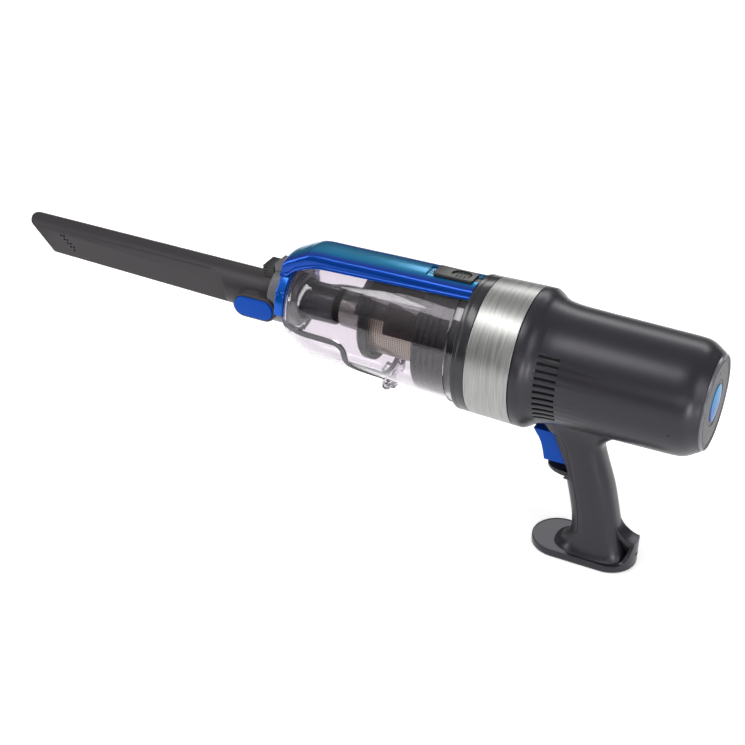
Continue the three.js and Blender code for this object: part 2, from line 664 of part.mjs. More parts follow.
function shroudRing() {
  return turned([
    [CONE_REAR_X, CONE_R - 2.5], [CONE_REAR_X, SHROUD_RING_R - 2], [CONE_REAR_X + 2, SHROUD_RING_R],
    [CONE_REAR_X + RING_DEPTH, SHROUD_RING_R], [CONE_REAR_X + RING_DEPTH, SHROUD_RING_R - 2],
    [CONE_REAR_X + 3, MESH_R + 1], [CONE_REAR_X + 3, CONE_R - 2.5],
  ], 28);
}

function shroudCover() {
  const [front, rear] = [CONE_REAR_X, RIBBED_FRONT_X - GAP];
  const step = front + 25;
  const roof = ring(front, rear, COVER_R - 1.8, COVER_R);
  const wall = ring(front, front + 1.8, SHROUD_RING_R + GAP, COVER_R);
  return join(sector(-62, 62, front, step).intersect(join(roof, wall)),
    sector(-76, 76, step, rear).intersect(roof));
}

function ribbedRing() {
  const outline = [[RIBBED_FRONT_X, MESH_R - 2], [RIBBED_FRONT_X, RIBBED_R]];
  for (let i = 0; i < 3; i += 1) {
    const x = RIBBED_FRONT_X + 3 + i * 5;
    outline.push([x, RIBBED_R], [x, RIBBED_R - 1.4], [x + 1.6, RIBBED_R - 1.4], [x + 1.6, RIBBED_R]);
  }
  outline.push([BIN_REAR_X - GAP, RIBBED_R], [BIN_REAR_X - GAP, RIBBED_R - 2.2],
    [RIBBED_FRONT_X + 2.2, RIBBED_R - 3.6], [RIBBED_FRONT_X + 2.2, MESH_R - 2]);
  return turned(outline, 28);
}

add('inlet_tube', ring(BIN_X + 5 + GAP, BIN_X + 34, 13.4, 15.5, 24), darkPlastic());
add('cyclone_cone', ring(CONE_REAR_X - 24, CONE_REAR_X - GAP, CONE_R - 2.5, CONE_R, 24), greyPlastic());
add('shroud_front_ring', shroudRing(), blackPlastic());
add('mesh_screen', ring(CONE_REAR_X + 3 + GAP, RIBBED_FRONT_X - GAP, MESH_R - 0.9, MESH_R, 28), steel());
add('shroud_cover', shroudCover(), smokyPlastic());
add('shroud_rear_ring', ribbedRing(), blackPlastic());

// ---- Front collar, filter and silver band -----------------------------------------------------

const FILTER_R = COLLAR_BORE_R - 0.5;
const FILTER_X = -6;
const FILTER_END_X = 21.5;

function frontCollar() {
  const outer = BARREL_R - 0.9;
  const seat = outer - 2;
  const collar = turned([
    [-COLLAR_LENGTH, seat], [-COLLAR_LENGTH, outer], [-GAP, outer], [-GAP, COLLAR_BORE_R],
    [-7, COLLAR_BORE_R], [-7, seat],
  ]);
  return cut(collar, box(-COLLAR_LENGTH - 1, -7.2, -TONGUE_HALF - GAP, TONGUE_HALF + GAP,
    TONGUE_Z - GAP, 2 * BARREL_R));
}

function binGasket() {
  const gasket = ring(-COLLAR_LENGTH, -7 - GAP, COLLAR_BORE_R, BARREL_R - 3.9);
  return cut(gasket, box(-20, 0, -TONGUE_HALF - 1, TONGUE_HALF + 1, TONGUE_Z - 1, 2 * BARREL_R));
}

function filterFrame() {
  const lip = FILTER_R - 5.5;
  const frame = turned([
    [FILTER_X, FILTER_R], [FILTER_X, lip], [FILTER_X + 1.5, lip], [FILTER_X + 1.5, FILTER_R - 2.4],
    [FILTER_END_X - 1.5, FILTER_R - 2.4], [FILTER_END_X - 1.5, lip], [FILTER_END_X, lip],
    [FILTER_END_X, FILTER_R],
  ], 24);
  return join(frame, box(FILTER_X, FILTER_X + 1.5, -lip - 1, lip + 1, -4, 4));
}

function filterElement() {
  const folds = 18;
  const points = [];
  for (let i = 0; i < 2 * folds; i += 1) {
    const r = FILTER_R - 2.8 - (i % 2) * 5;
    const angle = i * Math.PI / folds;
    points.push([r * Math.cos(angle), r * Math.sin(angle)]);
  }
  return lengthways(outlineOf(points), FILTER_X + 1.5 + GAP, FILTER_END_X - 1.5 - GAP);
}

add('front_collar', frontCollar(), darkPlastic());
add('bin_gasket', binGasket(), rubber());
add('filter_frame', filterFrame(), greyPlastic());
add('filter_element', filterElement(), paper());
add('silver_band', turned([
  [0, BARREL_R - BAND_WALL], [0, BARREL_R - 0.7], [BAND_LENGTH, BARREL_R],
  [BAND_LENGTH, BARREL_R - BAND_WALL],
]), brushed());

// ---- Motor barrel shell -----------------------------------------------------------------------

function ventSlots() {
  const slots = [];
  for (let i = 0; i < VENT_COUNT; i += 1) {
    const down = THREE.MathUtils.lerp(VENT_FIRST_DEG, VENT_LAST_DEG, i / (VENT_COUNT - 1));
    for (const side of [-1, 1]) {
      const geometry = new THREE.BoxGeometry(VENT_LENGTH, VENT_WIDTH, 20);
      geometry.translate(VENT_START_X + VENT_LENGTH / 2, 0, NECK_R);
      geometry.rotateX(-side * THREE.MathUtils.degToRad(down));
      slots.push(solid(geometry));
    }
  }
  return slots;
}

function bodyShell() {
  const outside = shellOutline(0);
  const inside = shellOutline(WALL).slice(2, -1).reverse();
  const rim = CAP_RING_R + GAP;
  const shell = turned([
    [0, SLEEVE_BORE_R], [0, BAND_SEAT_R], [BAND_LENGTH + GAP, BAND_SEAT_R],
    [BAND_LENGTH + GAP, BARREL_R], ...outside, [BARREL_LENGTH - 3, rim], [BARREL_LENGTH - 5.5, rim],
    ...inside, [BAND_LENGTH + 8, SLEEVE_BORE_R],
  ]);
  const wireWindow = box(68, 86, -7, 7, -NECK_R - 5, -NECK_R + 8);
  const lampHole = barY(BARREL_LENGTH - 21, -9, 1, -2 * TAIL_R, 0, 10);
  return cut(shell, wireWindow, lampHole, ...ventSlots());
}

add('body_shell', bodyShell(), gunmetal());

// ---- Motor ------------------------------------------------------------------------------------

const SHAFT_BORE_R = SHAFT_R + GAP;

function impeller() {
  const blades = [];
  for (let i = 0; i < 9; i += 1) {
    const geometry = new THREE.BoxGeometry(8, MOTOR_R - 12, 1.2);
    geometry.translate(FAN_X + 9, (MOTOR_R + 4) / 2, 3);
    geometry.rotateX(i * 2 * Math.PI / 9);
    blades.push(solid(geometry));
  }
  const wheel = join(disc(FAN_X + 3, FAN_X + 5.2, MOTOR_R - 3, 24), disc(FAN_X + 3, FAN_X + 14, 8, 12),
    ...blades);
  return cut(wheel, disc(FAN_X, FAN_X + 20, SHAFT_BORE_R, 12));
}

function fanHousing() {
  const rear = FAN_X + 16;
  return turned([
    [FAN_X, 19], [FAN_X, MOTOR_R], [rear, MOTOR_R], [rear, MOTOR_R - 1.8],
    [FAN_X + 1.8, MOTOR_R - 1.8], [FAN_X + 1.8, 19],
  ], 24);
}

function motorCan() {
  const front = FAN_X + 16 + GAP;
  const outer = MOTOR_R - 2;
  return turned([
    [front, outer - 1.6], [front, outer], [MOTOR_REAR_X, outer], [MOTOR_REAR_X, SHAFT_BORE_R],
    [MOTOR_REAR_X - 1.6, SHAFT_BORE_R], [MOTOR_REAR_X - 1.6, outer - 1.6],
  ], 24);
}

function controlBoard() {
  const back = MOTOR_REAR_X + 5;
  return join(disc(back, back + 1.6, 30, 20), box(back + 1.5, back + 5.5, -12, -2, 4, 16),
    box(back + 1.5, back + 4, 4, 18, -14, -6), barX(10, 12, 4, back + 1.5, back + 5.5, 12));
}

add('motor_mount', ring(FAN_X - 5.5, FAN_X - GAP, 19, SLEEVE_BORE_R - GAP, 28), rubber());
add('fan_housing', fanHousing(), blackPlastic());
add('impeller', impeller(), greyPlastic());
add('motor_can', motorCan(), steel());
add('motor_stator', ring(51, 74, 17.4, MOTOR_R - 4.2, 20), copper());
add('motor_rotor', ring(53, 72, SHAFT_BORE_R, 16.8, 16), steel());
add('motor_shaft', disc(FAN_X + 2, MOTOR_REAR_X + 3, SHAFT_R, 12), steel());
add('control_board', controlBoard(), board());

// ---- Battery ----------------------------------------------------------------------------------

const cellPlaces = [[0, 0]];
for (let i = 0; i < 6; i += 1) {
  cellPlaces.push([CELL_PITCH * Math.cos(i * Math.PI / 3), CELL_PITCH * Math.sin(i * Math.PI / 3)]);
}
const CELL_REAR_X = CELL_FRONT_X + CELL_LENGTH;

function cellHolder(x0, x1) {
  const holes = cellPlaces.map(([y, z]) => barX(y, z, CELL_R + GAP, x0 - 1, x1 + 1, 12));
  return cut(disc(x0, x1, CELL_PITCH + CELL_R + 5, 20), ...holes);
}

cellPlaces.forEach(([y, z], i) => {
  add(`battery_cell_${i + 1}`, barX(y, z, CELL_R, CELL_FRONT_X, CELL_REAR_X, 12), sleeve());
});
add('cell_holder_front', cellHolder(CELL_FRONT_X + 2, CELL_FRONT_X + 8), blackPlastic());
add('cell_holder_rear', cellHolder(CELL_REAR_X - 8, CELL_REAR_X - 2), blackPlastic());
add('battery_board', disc(CELL_REAR_X + 1.5, CELL_REAR_X + 3, CELL_PITCH + CELL_R, 20), board());

// ---- Rear cap and button ----------------------------------------------------------------------

const FACE_X = BARREL_LENGTH - 0.4;
const BUTTON_BORE_R = BUTTON_R + 0.2;

function modeButton() {
  const flange = FACE_X - 7;
  return turned([
    [flange, 0], [flange, BUTTON_R + 2], [flange + 2, BUTTON_R + 2], [flange + 2, BUTTON_R],
    [FACE_X, BUTTON_R], [FACE_X + 0.8, BUTTON_R * 0.7], [FACE_X + 1.1, 0],
  ], 20);
}

add('cap_ring', ring(FACE_X - 4, FACE_X, CAP_R + GAP, CAP_RING_R), greyPlastic());
add('rear_cap', ring(FACE_X - 3, FACE_X - 0.4, BUTTON_BORE_R, CAP_R), gunmetal());
add('mode_button', modeButton(), bluePlastic());
add('mode_switch', box(CELL_REAR_X + 3.4, FACE_X - 7 - BUTTON_TRAVEL - 0.2, -4, 4, -4, 4), blackPlastic());

// ---- Grip, foot and trigger -------------------------------------------------------------------

const HOUSING_HALF = TRIGGER_HALF + 0.6;
const SLOT_TOP_Z = -54;
const SLOT_LOW_Z = -85.5;
const LIP_LOW_Z = -91;

// The grip's sections from the barrel down to the foot: z, front, back and half width.
const gripStations = [
  [-38, 42, 120, 17], [-47, 45, 109, GRIP_HALF_WIDTH + 0.5], [-53, 50, 100, GRIP_HALF_WIDTH],
  [-60, 59, 95.6, GRIP_HALF_WIDTH - 0.5], [-75, 66.5, 100.3, GRIP_HALF_WIDTH - 0.5],
  [-91, 69.5, 105.8, GRIP_HALF_WIDTH], [FOOT_TOP_Z + 43, 74.5, 110.9, GRIP_HALF_WIDTH],
  [FOOT_TOP_Z + 25, 77.5, 115, GRIP_HALF_WIDTH], [FOOT_TOP_Z + 13, 77.5, 118.5, GRIP_HALF_WIDTH + 0.5],
  [FOOT_TOP_Z + 5, 73, 121.5, GRIP_HALF_WIDTH + 2], [FOOT_TOP_Z - 1, 66, 124.5, GRIP_HALF_WIDTH + 4],
];

// Side view of the front panel, in front of the seam that runs down the grip's side.
function panelRegion(grow) {
  const low = FOOT_TOP_Z + 14 - grow;
  const shape = new THREE.Shape();
  shape.moveTo(20, SLOT_TOP_Z + grow);
  shape.lineTo(60, SLOT_TOP_Z + grow);
  shape.splineThru([
    [66, -56], [69.8, -61.6], [73.2, -73.3], [76.7, -86], [81.5, -103],
    [84.9, FOOT_TOP_Z + 33], [85.9, FOOT_TOP_Z + 21], [81.5, low + 1.5],
  ].map(([x, z]) => new THREE.Vector2(x + grow, z)));
  shape.lineTo(74, low);
  shape.lineTo(20, low);
  return shape;
}

function gripWhole() {
  const nose = sideways(outlineOf([
    [60, SLOT_TOP_Z], [71.5, -78.5], [74, SLOT_LOW_Z], [70, LIP_LOW_Z], [90, LIP_LOW_Z], [88, SLOT_TOP_Z],
  ]), -13.5, 13.5, 1.5);
  const open = sideways(outlineOf([
    [20, SLOT_TOP_Z], [59.8, SLOT_TOP_Z], [71.3, -78.5], [73.8, SLOT_LOW_Z], [20, SLOT_LOW_Z],
  ]), -40, 40);
  const lip = sideways(outlineOf([
    [53.6, SLOT_LOW_Z + 1.2], [54.4, SLOT_LOW_Z - 1.2], [68, -90], [78, -90.5], [78, -87],
    [66, SLOT_LOW_Z - 0.6],
  ]), -30, 30).intersect(upright(stadium(53.6, 90, -11, 11), LIP_LOW_Z - 1, SLOT_LOW_Z + 3));
  const stack = stacked(gripStations, 0, 15, 20);
  return join(cut(join(stack, nose), open), lip);
}

function gripCavity() {
  const inner = gripStations.slice(1);
  inner.push([FLOOR_Z + 1, 67, 122, GRIP_HALF_WIDTH + 2.5]);
  const slot = box(50, 84, -HOUSING_HALF, HOUSING_HALF, SLOT_LOW_Z, SLOT_TOP_Z - 0.2);
  return join(stacked(inner, GRIP_WALL, 11, 16), slot);
}

function foot() {
  const rise = FOOT_TOP_Z + HEEL_HEIGHT;
  const outline = (inset) => stadium(FOOT_FRONT_X + inset, FOOT_REAR_X - inset,
    -FOOT_HALF_WIDTH + inset, FOOT_HALF_WIDTH - inset);
  const sole = upright(outline(0), FLOOR_Z, FOOT_TOP_Z, 1);
  const heel = upright(outline(0), FLOOR_Z + 2, rise, 1)
    .intersect(box(FOOT_REAR_X - 18, FOOT_REAR_X + 1, -14, 14, FLOOR_Z, rise + 1));
  const pocket = (y0, y1) => box(FOOT_REAR_X - 10, FOOT_REAR_X - 3, y0, y1, FOOT_TOP_Z, rise - 4);
  const recess = upright(outline(2), FLOOR_Z - 1, FLOOR_Z + PLATE_THICKNESS + GAP);
  return { solid: cut(join(sole, heel), pocket(-15, -7), pocket(7, 15)), recess, outline };
}

const footParts = foot();

// The barrel with a gap all round, which the top of the grip fits under.
const barrelRoom = turned([
  [-20, 0], [-20, BARREL_R + GAP], ...shellOutline(-GAP), [BARREL_LENGTH, 0],
]);

function gripShell() {
  const rib = box(86.5, 88.3, -GRIP_HALF_WIDTH + 2, GRIP_HALF_WIDTH - 2, -84, -60);
  const walls = cut(join(gripWhole(), footParts.solid), gripCavity(), footParts.recess);
  return cut(join(walls, rib), barrelRoom, sideways(panelRegion(GAP), -40, 40));
}

function frontPanel() {
  const walls = cut(gripWhole(), gripCavity(), barrelRoom);
  const pinHole = barY(TRIGGER_PIN_X, TRIGGER_PIN_Z, 1.6, -12.7, 12.7, 14);
  return cut(walls.intersect(sideways(panelRegion(0), -40, 40)), pinHole);
}

function trigger() {
  const profile = outlineOf([
    [42.2, SLOT_TOP_Z - 1.5], [47.6, -61.8], [50.4, -70], [52.7, -80.7], [74.5, -80.7],
    [72.5, -68], [69.5, SLOT_TOP_Z - 1.5],
  ]);
  return cut(sideways(profile, -TRIGGER_HALF, TRIGGER_HALF, 2.2),
    barY(TRIGGER_PIN_X, TRIGGER_PIN_Z, 1.6, -20, 20, 14));
}

function footPlate() {
  const plate = upright(footParts.outline(2 + GAP), FLOOR_Z, FLOOR_Z + PLATE_THICKNESS);
  return cut(plate, box(60, 74, -5, 5, FLOOR_Z - 1, FLOOR_Z + 9));
}

add('grip_shell', gripShell(), gunmetal());
add('grip_front_panel', frontPanel(), gunmetal());
add('trigger', trigger(), bluePlastic());
add('trigger_pin', barY(TRIGGER_PIN_X, TRIGGER_PIN_Z, 1.5, -12.4, 12.4, 14), steel());
add('trigger_spring', springX(75.3, 86.2, 0, -76.5, 2.4, 0.4, 4), steel());
add('trigger_switch', box(77, 86.2, -5, 5, -69, -61), blackPlastic());
add('foot_plate', footPlate(), darkPlastic());
add('dock_contact', box(60 + GAP, 74 - GAP, -5 + GAP, 5 - GAP, FLOOR_Z + 0.5, FLOOR_Z + PLATE_THICKNESS), copper());

const group = new THREE.Group();
group.add(barrel);

export default group;
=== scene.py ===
"""Looks of a cordless handheld vacuum: clear dust bin, motor barrel, pistol grip and crevice tool."""

import logging
import math
from dataclasses import dataclass, field
from enum import Enum
from typing import Iterable, Sequence

import bmesh
import bpy
from mathutils import Matrix, Vector


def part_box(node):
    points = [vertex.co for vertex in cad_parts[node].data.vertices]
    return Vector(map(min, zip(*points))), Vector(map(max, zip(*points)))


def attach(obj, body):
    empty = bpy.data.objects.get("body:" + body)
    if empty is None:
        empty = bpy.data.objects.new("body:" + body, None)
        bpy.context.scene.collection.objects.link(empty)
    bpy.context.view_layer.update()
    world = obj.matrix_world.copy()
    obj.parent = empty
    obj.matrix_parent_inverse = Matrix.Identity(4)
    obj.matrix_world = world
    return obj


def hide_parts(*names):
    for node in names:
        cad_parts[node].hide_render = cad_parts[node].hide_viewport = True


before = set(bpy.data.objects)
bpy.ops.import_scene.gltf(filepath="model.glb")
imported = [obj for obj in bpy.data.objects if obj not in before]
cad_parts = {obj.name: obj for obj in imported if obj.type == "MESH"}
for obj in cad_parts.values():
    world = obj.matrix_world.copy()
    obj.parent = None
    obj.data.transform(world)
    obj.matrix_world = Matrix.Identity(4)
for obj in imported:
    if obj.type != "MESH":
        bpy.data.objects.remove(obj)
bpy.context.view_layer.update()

LOG = logging.getLogger("handheld_vacuum")
MM = 0.001
GAP = 0.3
Point = tuple[float, float]
Outline = list[Point]
Solid = bmesh.types.BMesh
Socket = bpy.types.NodeSocket


class Axis(Enum):
    """The barrel axis that a flat outline is pulled along."""

    X = "x"
    Y = "y"
    Z = "z"


class Join(Enum):
    """How two solids are put together."""

    ADD = "UNION"
    CUT = "DIFFERENCE"
    KEEP = "INTERSECT"


# ---- Drawing ----------------------------------------------------------------------------------


def soften(points: Sequence[Point], radius: float, steps: int = 4, closed: bool = True) -> Outline:
    """Rounds the corners of a path.

    Args:
        points: the corners.
        radius: how far from a corner its curve starts, in millimetres.
        steps: pieces in each curve.
        closed: whether the last corner joins the first.

    Returns:
        The rounded path.
    """
    path: Outline = []
    count = len(points)
    for index, corner in enumerate(points):
        if not closed and index in (0, count - 1):
            path.append(corner)
            continue
        here = Vector(corner)
        back = Vector(points[index - 1]) - here
        ahead = Vector(points[(index + 1) % count]) - here
        reach = min(radius, back.length * 0.45, ahead.length * 0.45)
        start = here + back.normalized() * reach
        end = here + ahead.normalized() * reach
        for step in range(steps + 1):
            t = step / steps
            spot = start * (1 - t) ** 2 + here * 2 * t * (1 - t) + end * t * t
            path.append((spot.x, spot.y))
    return path


def flowing(points: Sequence[Point], per_span: int = 5) -> Outline:
    """Draws a smooth line through points.

    Args:
        points: what the line passes through, in order.
        per_span: pieces between one point and the next.

    Returns:
        The smooth line.
    """
    ends = [points[0], *points, points[-1]]
    path: Outline = []
    for a, b, c, d in zip(ends, ends[1:], ends[2:], ends[3:]):
        pa, pb, pc, pd = (Vector(p) for p in (a, b, c, d))
        for step in range(per_span):
            t = step / per_span
            spot = 0.5 * (
                2 * pb
                + (pc - pa) * t
                + (2 * pa - 5 * pb + 4 * pc - pd) * t * t
                + (3 * pb - pa - 3 * pc + pd) * t**3
            )
            path.append((spot.x, spot.y))
    path.append(points[-1])
    return path


def offset_line(points: Sequence[Point], amount: float) -> Outline:
    """Moves an open line sideways, to its right as it runs.

    Args:
        points: the line.
        amount: how far it moves, in millimetres.

    Returns:
        The moved line.
    """
    moved: Outline = []
    for index, (x, y) in enumerate(points):
        before = Vector(points[max(index - 1, 0)])
        after = Vector(points[min(index + 1, len(points) - 1)])
        along = (after - before).normalized()
        moved.append((x + along.y * amount, y - along.x * amount))
    return moved


def stadium(start: float, end: float, low: float, high: float, steps: int = 16) -> Outline:
    """Draws a slot outline with round ends.

    Args:
        start: where it begins along its length.
        end: where it ends.
        low: its lower side.
        high: its upper side.
        steps: pieces in each round end.

    Returns:
        The outline.
    """
    r = (high - low) / 2
    middle = (low + high) / 2
    path: Outline = []
    for centre, first in ((end - r, -90), (start + r, 90)):
        for step in range(steps + 1):
            angle = math.radians(first + 180 * step / steps)
            path.append((centre + r * math.cos(angle), middle + r * math.sin(angle)))
    return path


def sector_outline(inner: float, outer: float, half: float, steps: int = 25) -> Outline:
    """Draws a ring's piece seen from the front.

    Args:
        inner: the inner radius.
        outer: the outer radius.
        half: degrees to each side of the top.
        steps: pieces along each arc.

    Returns:
        The outline.
    """
    angles = [math.radians(half * (2 * i / steps - 1)) for i in range(steps + 1)]
    path = [(inner * math.sin(a), inner * math.cos(a)) for a in angles]
    return path + [(outer * math.sin(a), outer * math.cos(a)) for a in reversed(angles)]


def rectangle(x0: float, x1: float, y0: float, y1: float) -> Outline:
    """Draws a rectangle."""
    return [(x0, y0), (x1, y0), (x1, y1), (x0, y1)]


# ---- Solids -----------------------------------------------------------------------------------


def tidy(bm: Solid, reach: float = 1e-4) -> Solid:
    """Merges doubled points and turns every face outwards.

    Args:
        bm: the solid, changed in place.
        reach: how close two points are when they merge.

    Returns:
        The same solid.
    """
    bmesh.ops.remove_doubles(bm, verts=bm.verts, dist=reach)
    bmesh.ops.recalc_face_normals(bm, faces=bm.faces)
    return bm


def round_edges(bm: Solid, edges: list[bmesh.types.BMEdge], width: float, segments: int) -> None:
    """Rounds edges of a solid.

    Args:
        bm: the solid.
        edges: the edges to round.
        width: how far the rounding reaches, in millimetres.
        segments: strips in each rounding.
    """
    bmesh.ops.bevel(
        bm,
        geom=edges,
        offset=width,
        offset_type="OFFSET",
        segments=segments,
        profile=0.5,
        affect="EDGES",
        clamp_overlap=True,
        material=-1,
    )


def turned(profile: Outline, steps: int = 144, first: float = 0, last: float = 360) -> Solid:
    """Turns a closed profile about the barrel's axis.

    Args:
        profile: x and radius of each corner.
        steps: divisions of the whole turn.
        first: where the turn starts, in degrees from the top towards -Y.
        last: where it ends.

    Returns:
        The turned solid.
    """
    bm = bmesh.new()
    verts = [bm.verts.new((x, 0, max(r, 0))) for x, r in profile]
    whole = last - first >= 360
    on_axis = profile[0][1] <= 0 and profile[-1][1] <= 0
    pairs = list(zip(verts, verts[1:] + verts[:1]))
    edges = [bm.edges.new(pair) for pair in (pairs[:-1] if on_axis else pairs)]
    geom: list = [*verts, *edges]
    if not whole:
        geom.append(bm.faces.new(verts))
    spin = Matrix.Rotation(math.radians(first), 3, "X")
    bmesh.ops.rotate(bm, verts=verts, cent=(0, 0, 0), matrix=spin)
    bmesh.ops.spin(
        bm,
        geom=geom,
        axis=(1, 0, 0),
        cent=(0, 0, 0),
        angle=math.radians(last - first),
        steps=steps if whole else max(2, round(steps * (last - first) / 360)),
        use_merge=whole,
    )
    tidy(bm)
    bmesh.ops.holes_fill(bm, edges=[e for e in bm.edges if e.is_boundary])
    return tidy(bm)


def pulled(outline: Outline, axis: Axis, low: float, high: float, bevel: float = 0) -> Solid:
    """Pulls a flat outline into a block.

    Args:
        outline: (x, z) for Y, (x, y) for Z and (y, z) for X.
        axis: the axis that it is pulled along.
        low: where the block starts.
        high: where it ends.
        bevel: width of the rounded rims at both ends.

    Returns:
        The block.
    """
    bm = bmesh.new()
    spots = {
        Axis.X: lambda u, v: (low, u, v),
        Axis.Y: lambda u, v: (u, low, v),
        Axis.Z: lambda u, v: (u, v, low),
    }[axis]
    step = {Axis.X: (1, 0, 0), Axis.Y: (0, 1, 0), Axis.Z: (0, 0, 1)}[axis]
    face = bm.faces.new([bm.verts.new(spots(u, v)) for u, v in outline])
    grown = bmesh.ops.extrude_face_region(bm, geom=[face])["geom"]
    top = [v for v in grown if isinstance(v, bmesh.types.BMVert)]
    bmesh.ops.translate(bm, verts=top, vec=Vector(step) * (high - low))
    tidy(bm)
    if bevel:
        caps = [f for f in bm.faces if len(f.verts) == len(outline)]
        rims = {e for cap in caps for e in cap.edges}
        round_edges(bm, list(rims), bevel, 4)
    return bm


def rod(
    axis: Axis, centre: Point, radius: float, low: float, high: float, bevel: float = 0, steps: int = 32
) -> Solid:
    """Makes a round rod along an axis.

    Args:
        axis: the axis that it runs along.
        centre: its centre across the axis, as for `pulled`.
        radius: its radius.
        low: where it starts.
        high: where it ends.
        bevel: width of its rounded rims.
        steps: sides of its outline.

    Returns:
        The rod.
    """
    outline = [
        (
            centre[0] + radius * math.cos(math.tau * i / steps),
            centre[1] + radius * math.sin(math.tau * i / steps),
        )
        for i in range(steps)
    ]
    return pulled(outline, axis, low, high, bevel)


def block(
    x: Point, y: Point, z: Point, bevel: float = 0, segments: int = 3
) -> Solid:
    """Makes a box with rounded edges.

    Args:
        x: its range along x.
        y: its range along y.
        z: its range along z.
        bevel: how far the rounding reaches.
        segments: strips in each rounding.

    Returns:
        The box.
    """
    bm = bmesh.new()
    bmesh.ops.create_cube(bm, size=1)
    bmesh.ops.scale(bm, verts=bm.verts, vec=(x[1] - x[0], y[1] - y[0], z[1] - z[0]))
    centre = Vector((sum(x) / 2, sum(y) / 2, sum(z) / 2))
    bmesh.ops.translate(bm, verts=bm.verts, vec=centre)
    if bevel:
        round_edges(bm, bm.edges[:], bevel, segments)
    return bm


def loose_object(bm: Solid) -> bpy.types.Object:
    """Puts a solid in the scene for a moment.

    Args:
        bm: the solid; it is used up.

    Returns:
        The object that holds it.
    """
    mesh = bpy.data.meshes.new("scratch")
    bm.to_mesh(mesh)
    bm.free()
    item = bpy.data.objects.new("scratch", mesh)
    bpy.context.scene.collection.objects.link(item)
    return item


def combined(first: Solid, join: Join, *others: Solid) -> Solid:
    """Joins a solid with others, cuts them out of it, or keeps what lies inside them.

    Args:
        first: the solid that is kept; it is used up.
        join: what to do.
        others: the other solids; they are used up.

    Returns:
        The new solid.
    """
    target = loose_object(first)
    tools = [loose_object(other) for other in others]
    for tool in tools:
        modifier = target.modifiers.new("join", "BOOLEAN")
        modifier.operation = join.value
        modifier.object = tool
        modifier.solver = "EXACT"
    bpy.context.view_layer.update()
    shaped = target.evaluated_get(bpy.context.evaluated_depsgraph_get())
    result = bmesh.new()
    result.from_mesh(shaped.to_mesh())
    shaped.to_mesh_clear()
    for item in (target, *tools):
        mesh = item.data
        bpy.data.objects.remove(item)
        bpy.data.meshes.remove(mesh)
    bmesh.ops.remove_doubles(result, verts=result.verts, dist=1e-4)
    bmesh.ops.dissolve_degenerate(result, dist=1e-4, edges=result.edges)
    return result


def sharpen(bm: Solid, limit: float) -> None:
    """Shades every face smooth and keeps sharp edges sharp.

    Args:
        bm: the solid, changed in place.
        limit: edges past this many degrees stay sharp.
    """
    for face in bm.faces:
        face.smooth = True
    for edge in bm.edges:
        edge.smooth = len(edge.link_faces) == 2 and edge.calc_face_angle(0) < math.radians(limit)


# ---- Shader groups ----------------------------------------------------------------------------


class Tree:
    """A node tree with short ways to add and join its nodes."""

    def __init__(self, tree: bpy.types.NodeTree) -> None:
        """Keeps the tree."""
        self.tree = tree

    def add(self, kind: str, **values: object) -> bpy.types.Node:
        """Adds a node.

        Args:
            kind: its type.
            **values: attributes to set on it.

        Returns:
            The node.
        """
        node = self.tree.nodes.new(kind)
        for name, value in values.items():
            setattr(node, name, value)
        return node

    def feed(self, socket: Socket, source: object) -> None:
        """Gives a socket a value or a link.

        Args:
            socket: the input.
            source: a value, or the output that it is linked to.
        """
        if isinstance(source, Socket):
            self.tree.links.new(source, socket)
        else:
            socket.default_value = source

    def math(self, operation: str, *sources: object, clamp: bool = False) -> Socket:
        """Adds a Math node.

        Args:
            operation: what it does.
            *sources: its inputs, as values or outputs.
            clamp: whether its result stays between 0 and 1.

        Returns:
            Its output.
        """
        node = self.add("ShaderNodeMath", operation=operation, use_clamp=clamp)
        for socket, source in zip(node.inputs, sources):
            self.feed(socket, source)
        return node.outputs[0]

    def mix(self, share: object, first: object, second: object) -> Socket:
        """Mixes two colours.

        Args:
            share: how much of the second shows.
            first: the first colour.
            second: the second colour.

        Returns:
            The mixed colour.
        """
        node = self.add("ShaderNodeMix", data_type="RGBA")
        for name, source in (("Factor_Float", share), ("A_Color", first), ("B_Color", second)):
            self.feed(next(s for s in node.inputs if s.identifier == name), source)
        return next(s for s in node.outputs if s.identifier == "Result_Color")

    def ramp(self, source: object, low: float, high: float) -> Socket:
        """Stretches a range over 0 to 1, smoothly.

        Args:
            source: what is stretched.
            low: what becomes 0.
            high: what becomes 1.

        Returns:
            The stretched value.
        """
        node = self.add("ShaderNodeMapRange", interpolation_type="SMOOTHSTEP")
        self.feed(node.inputs["Value"], source)
        self.feed(node.inputs["From Min"], low)
        self.feed(node.inputs["From Max"], high)
        return node.outputs[0]

    def noise(self, vector: object, scale: object, detail: float = 3) -> Socket:
        """Adds a noise texture.

        Args:
            vector: where it is read.
            scale: its scale.
            detail: its octaves.

        Returns:
            Its value.
        """
        node = self.add("ShaderNodeTexNoise")
        self.feed(node.inputs["Vector"], vector)
        self.feed(node.inputs["Scale"], scale)
        self.feed(node.inputs["Detail"], detail)
        return node.outputs[0]

    def place(self, offset: Vector) -> Socket:
        """Counts an object's coordinates from a point.

        Args:
            offset: the point, in metres.

        Returns:
            The coordinates.
        """
        coordinates = self.add("ShaderNodeTexCoord")
        mapping = self.add("ShaderNodeMapping")
        self.feed(mapping.inputs["Location"], -offset)
        self.tree.links.new(coordinates.outputs["Object"], mapping.inputs["Vector"])
        return mapping.outputs[0]


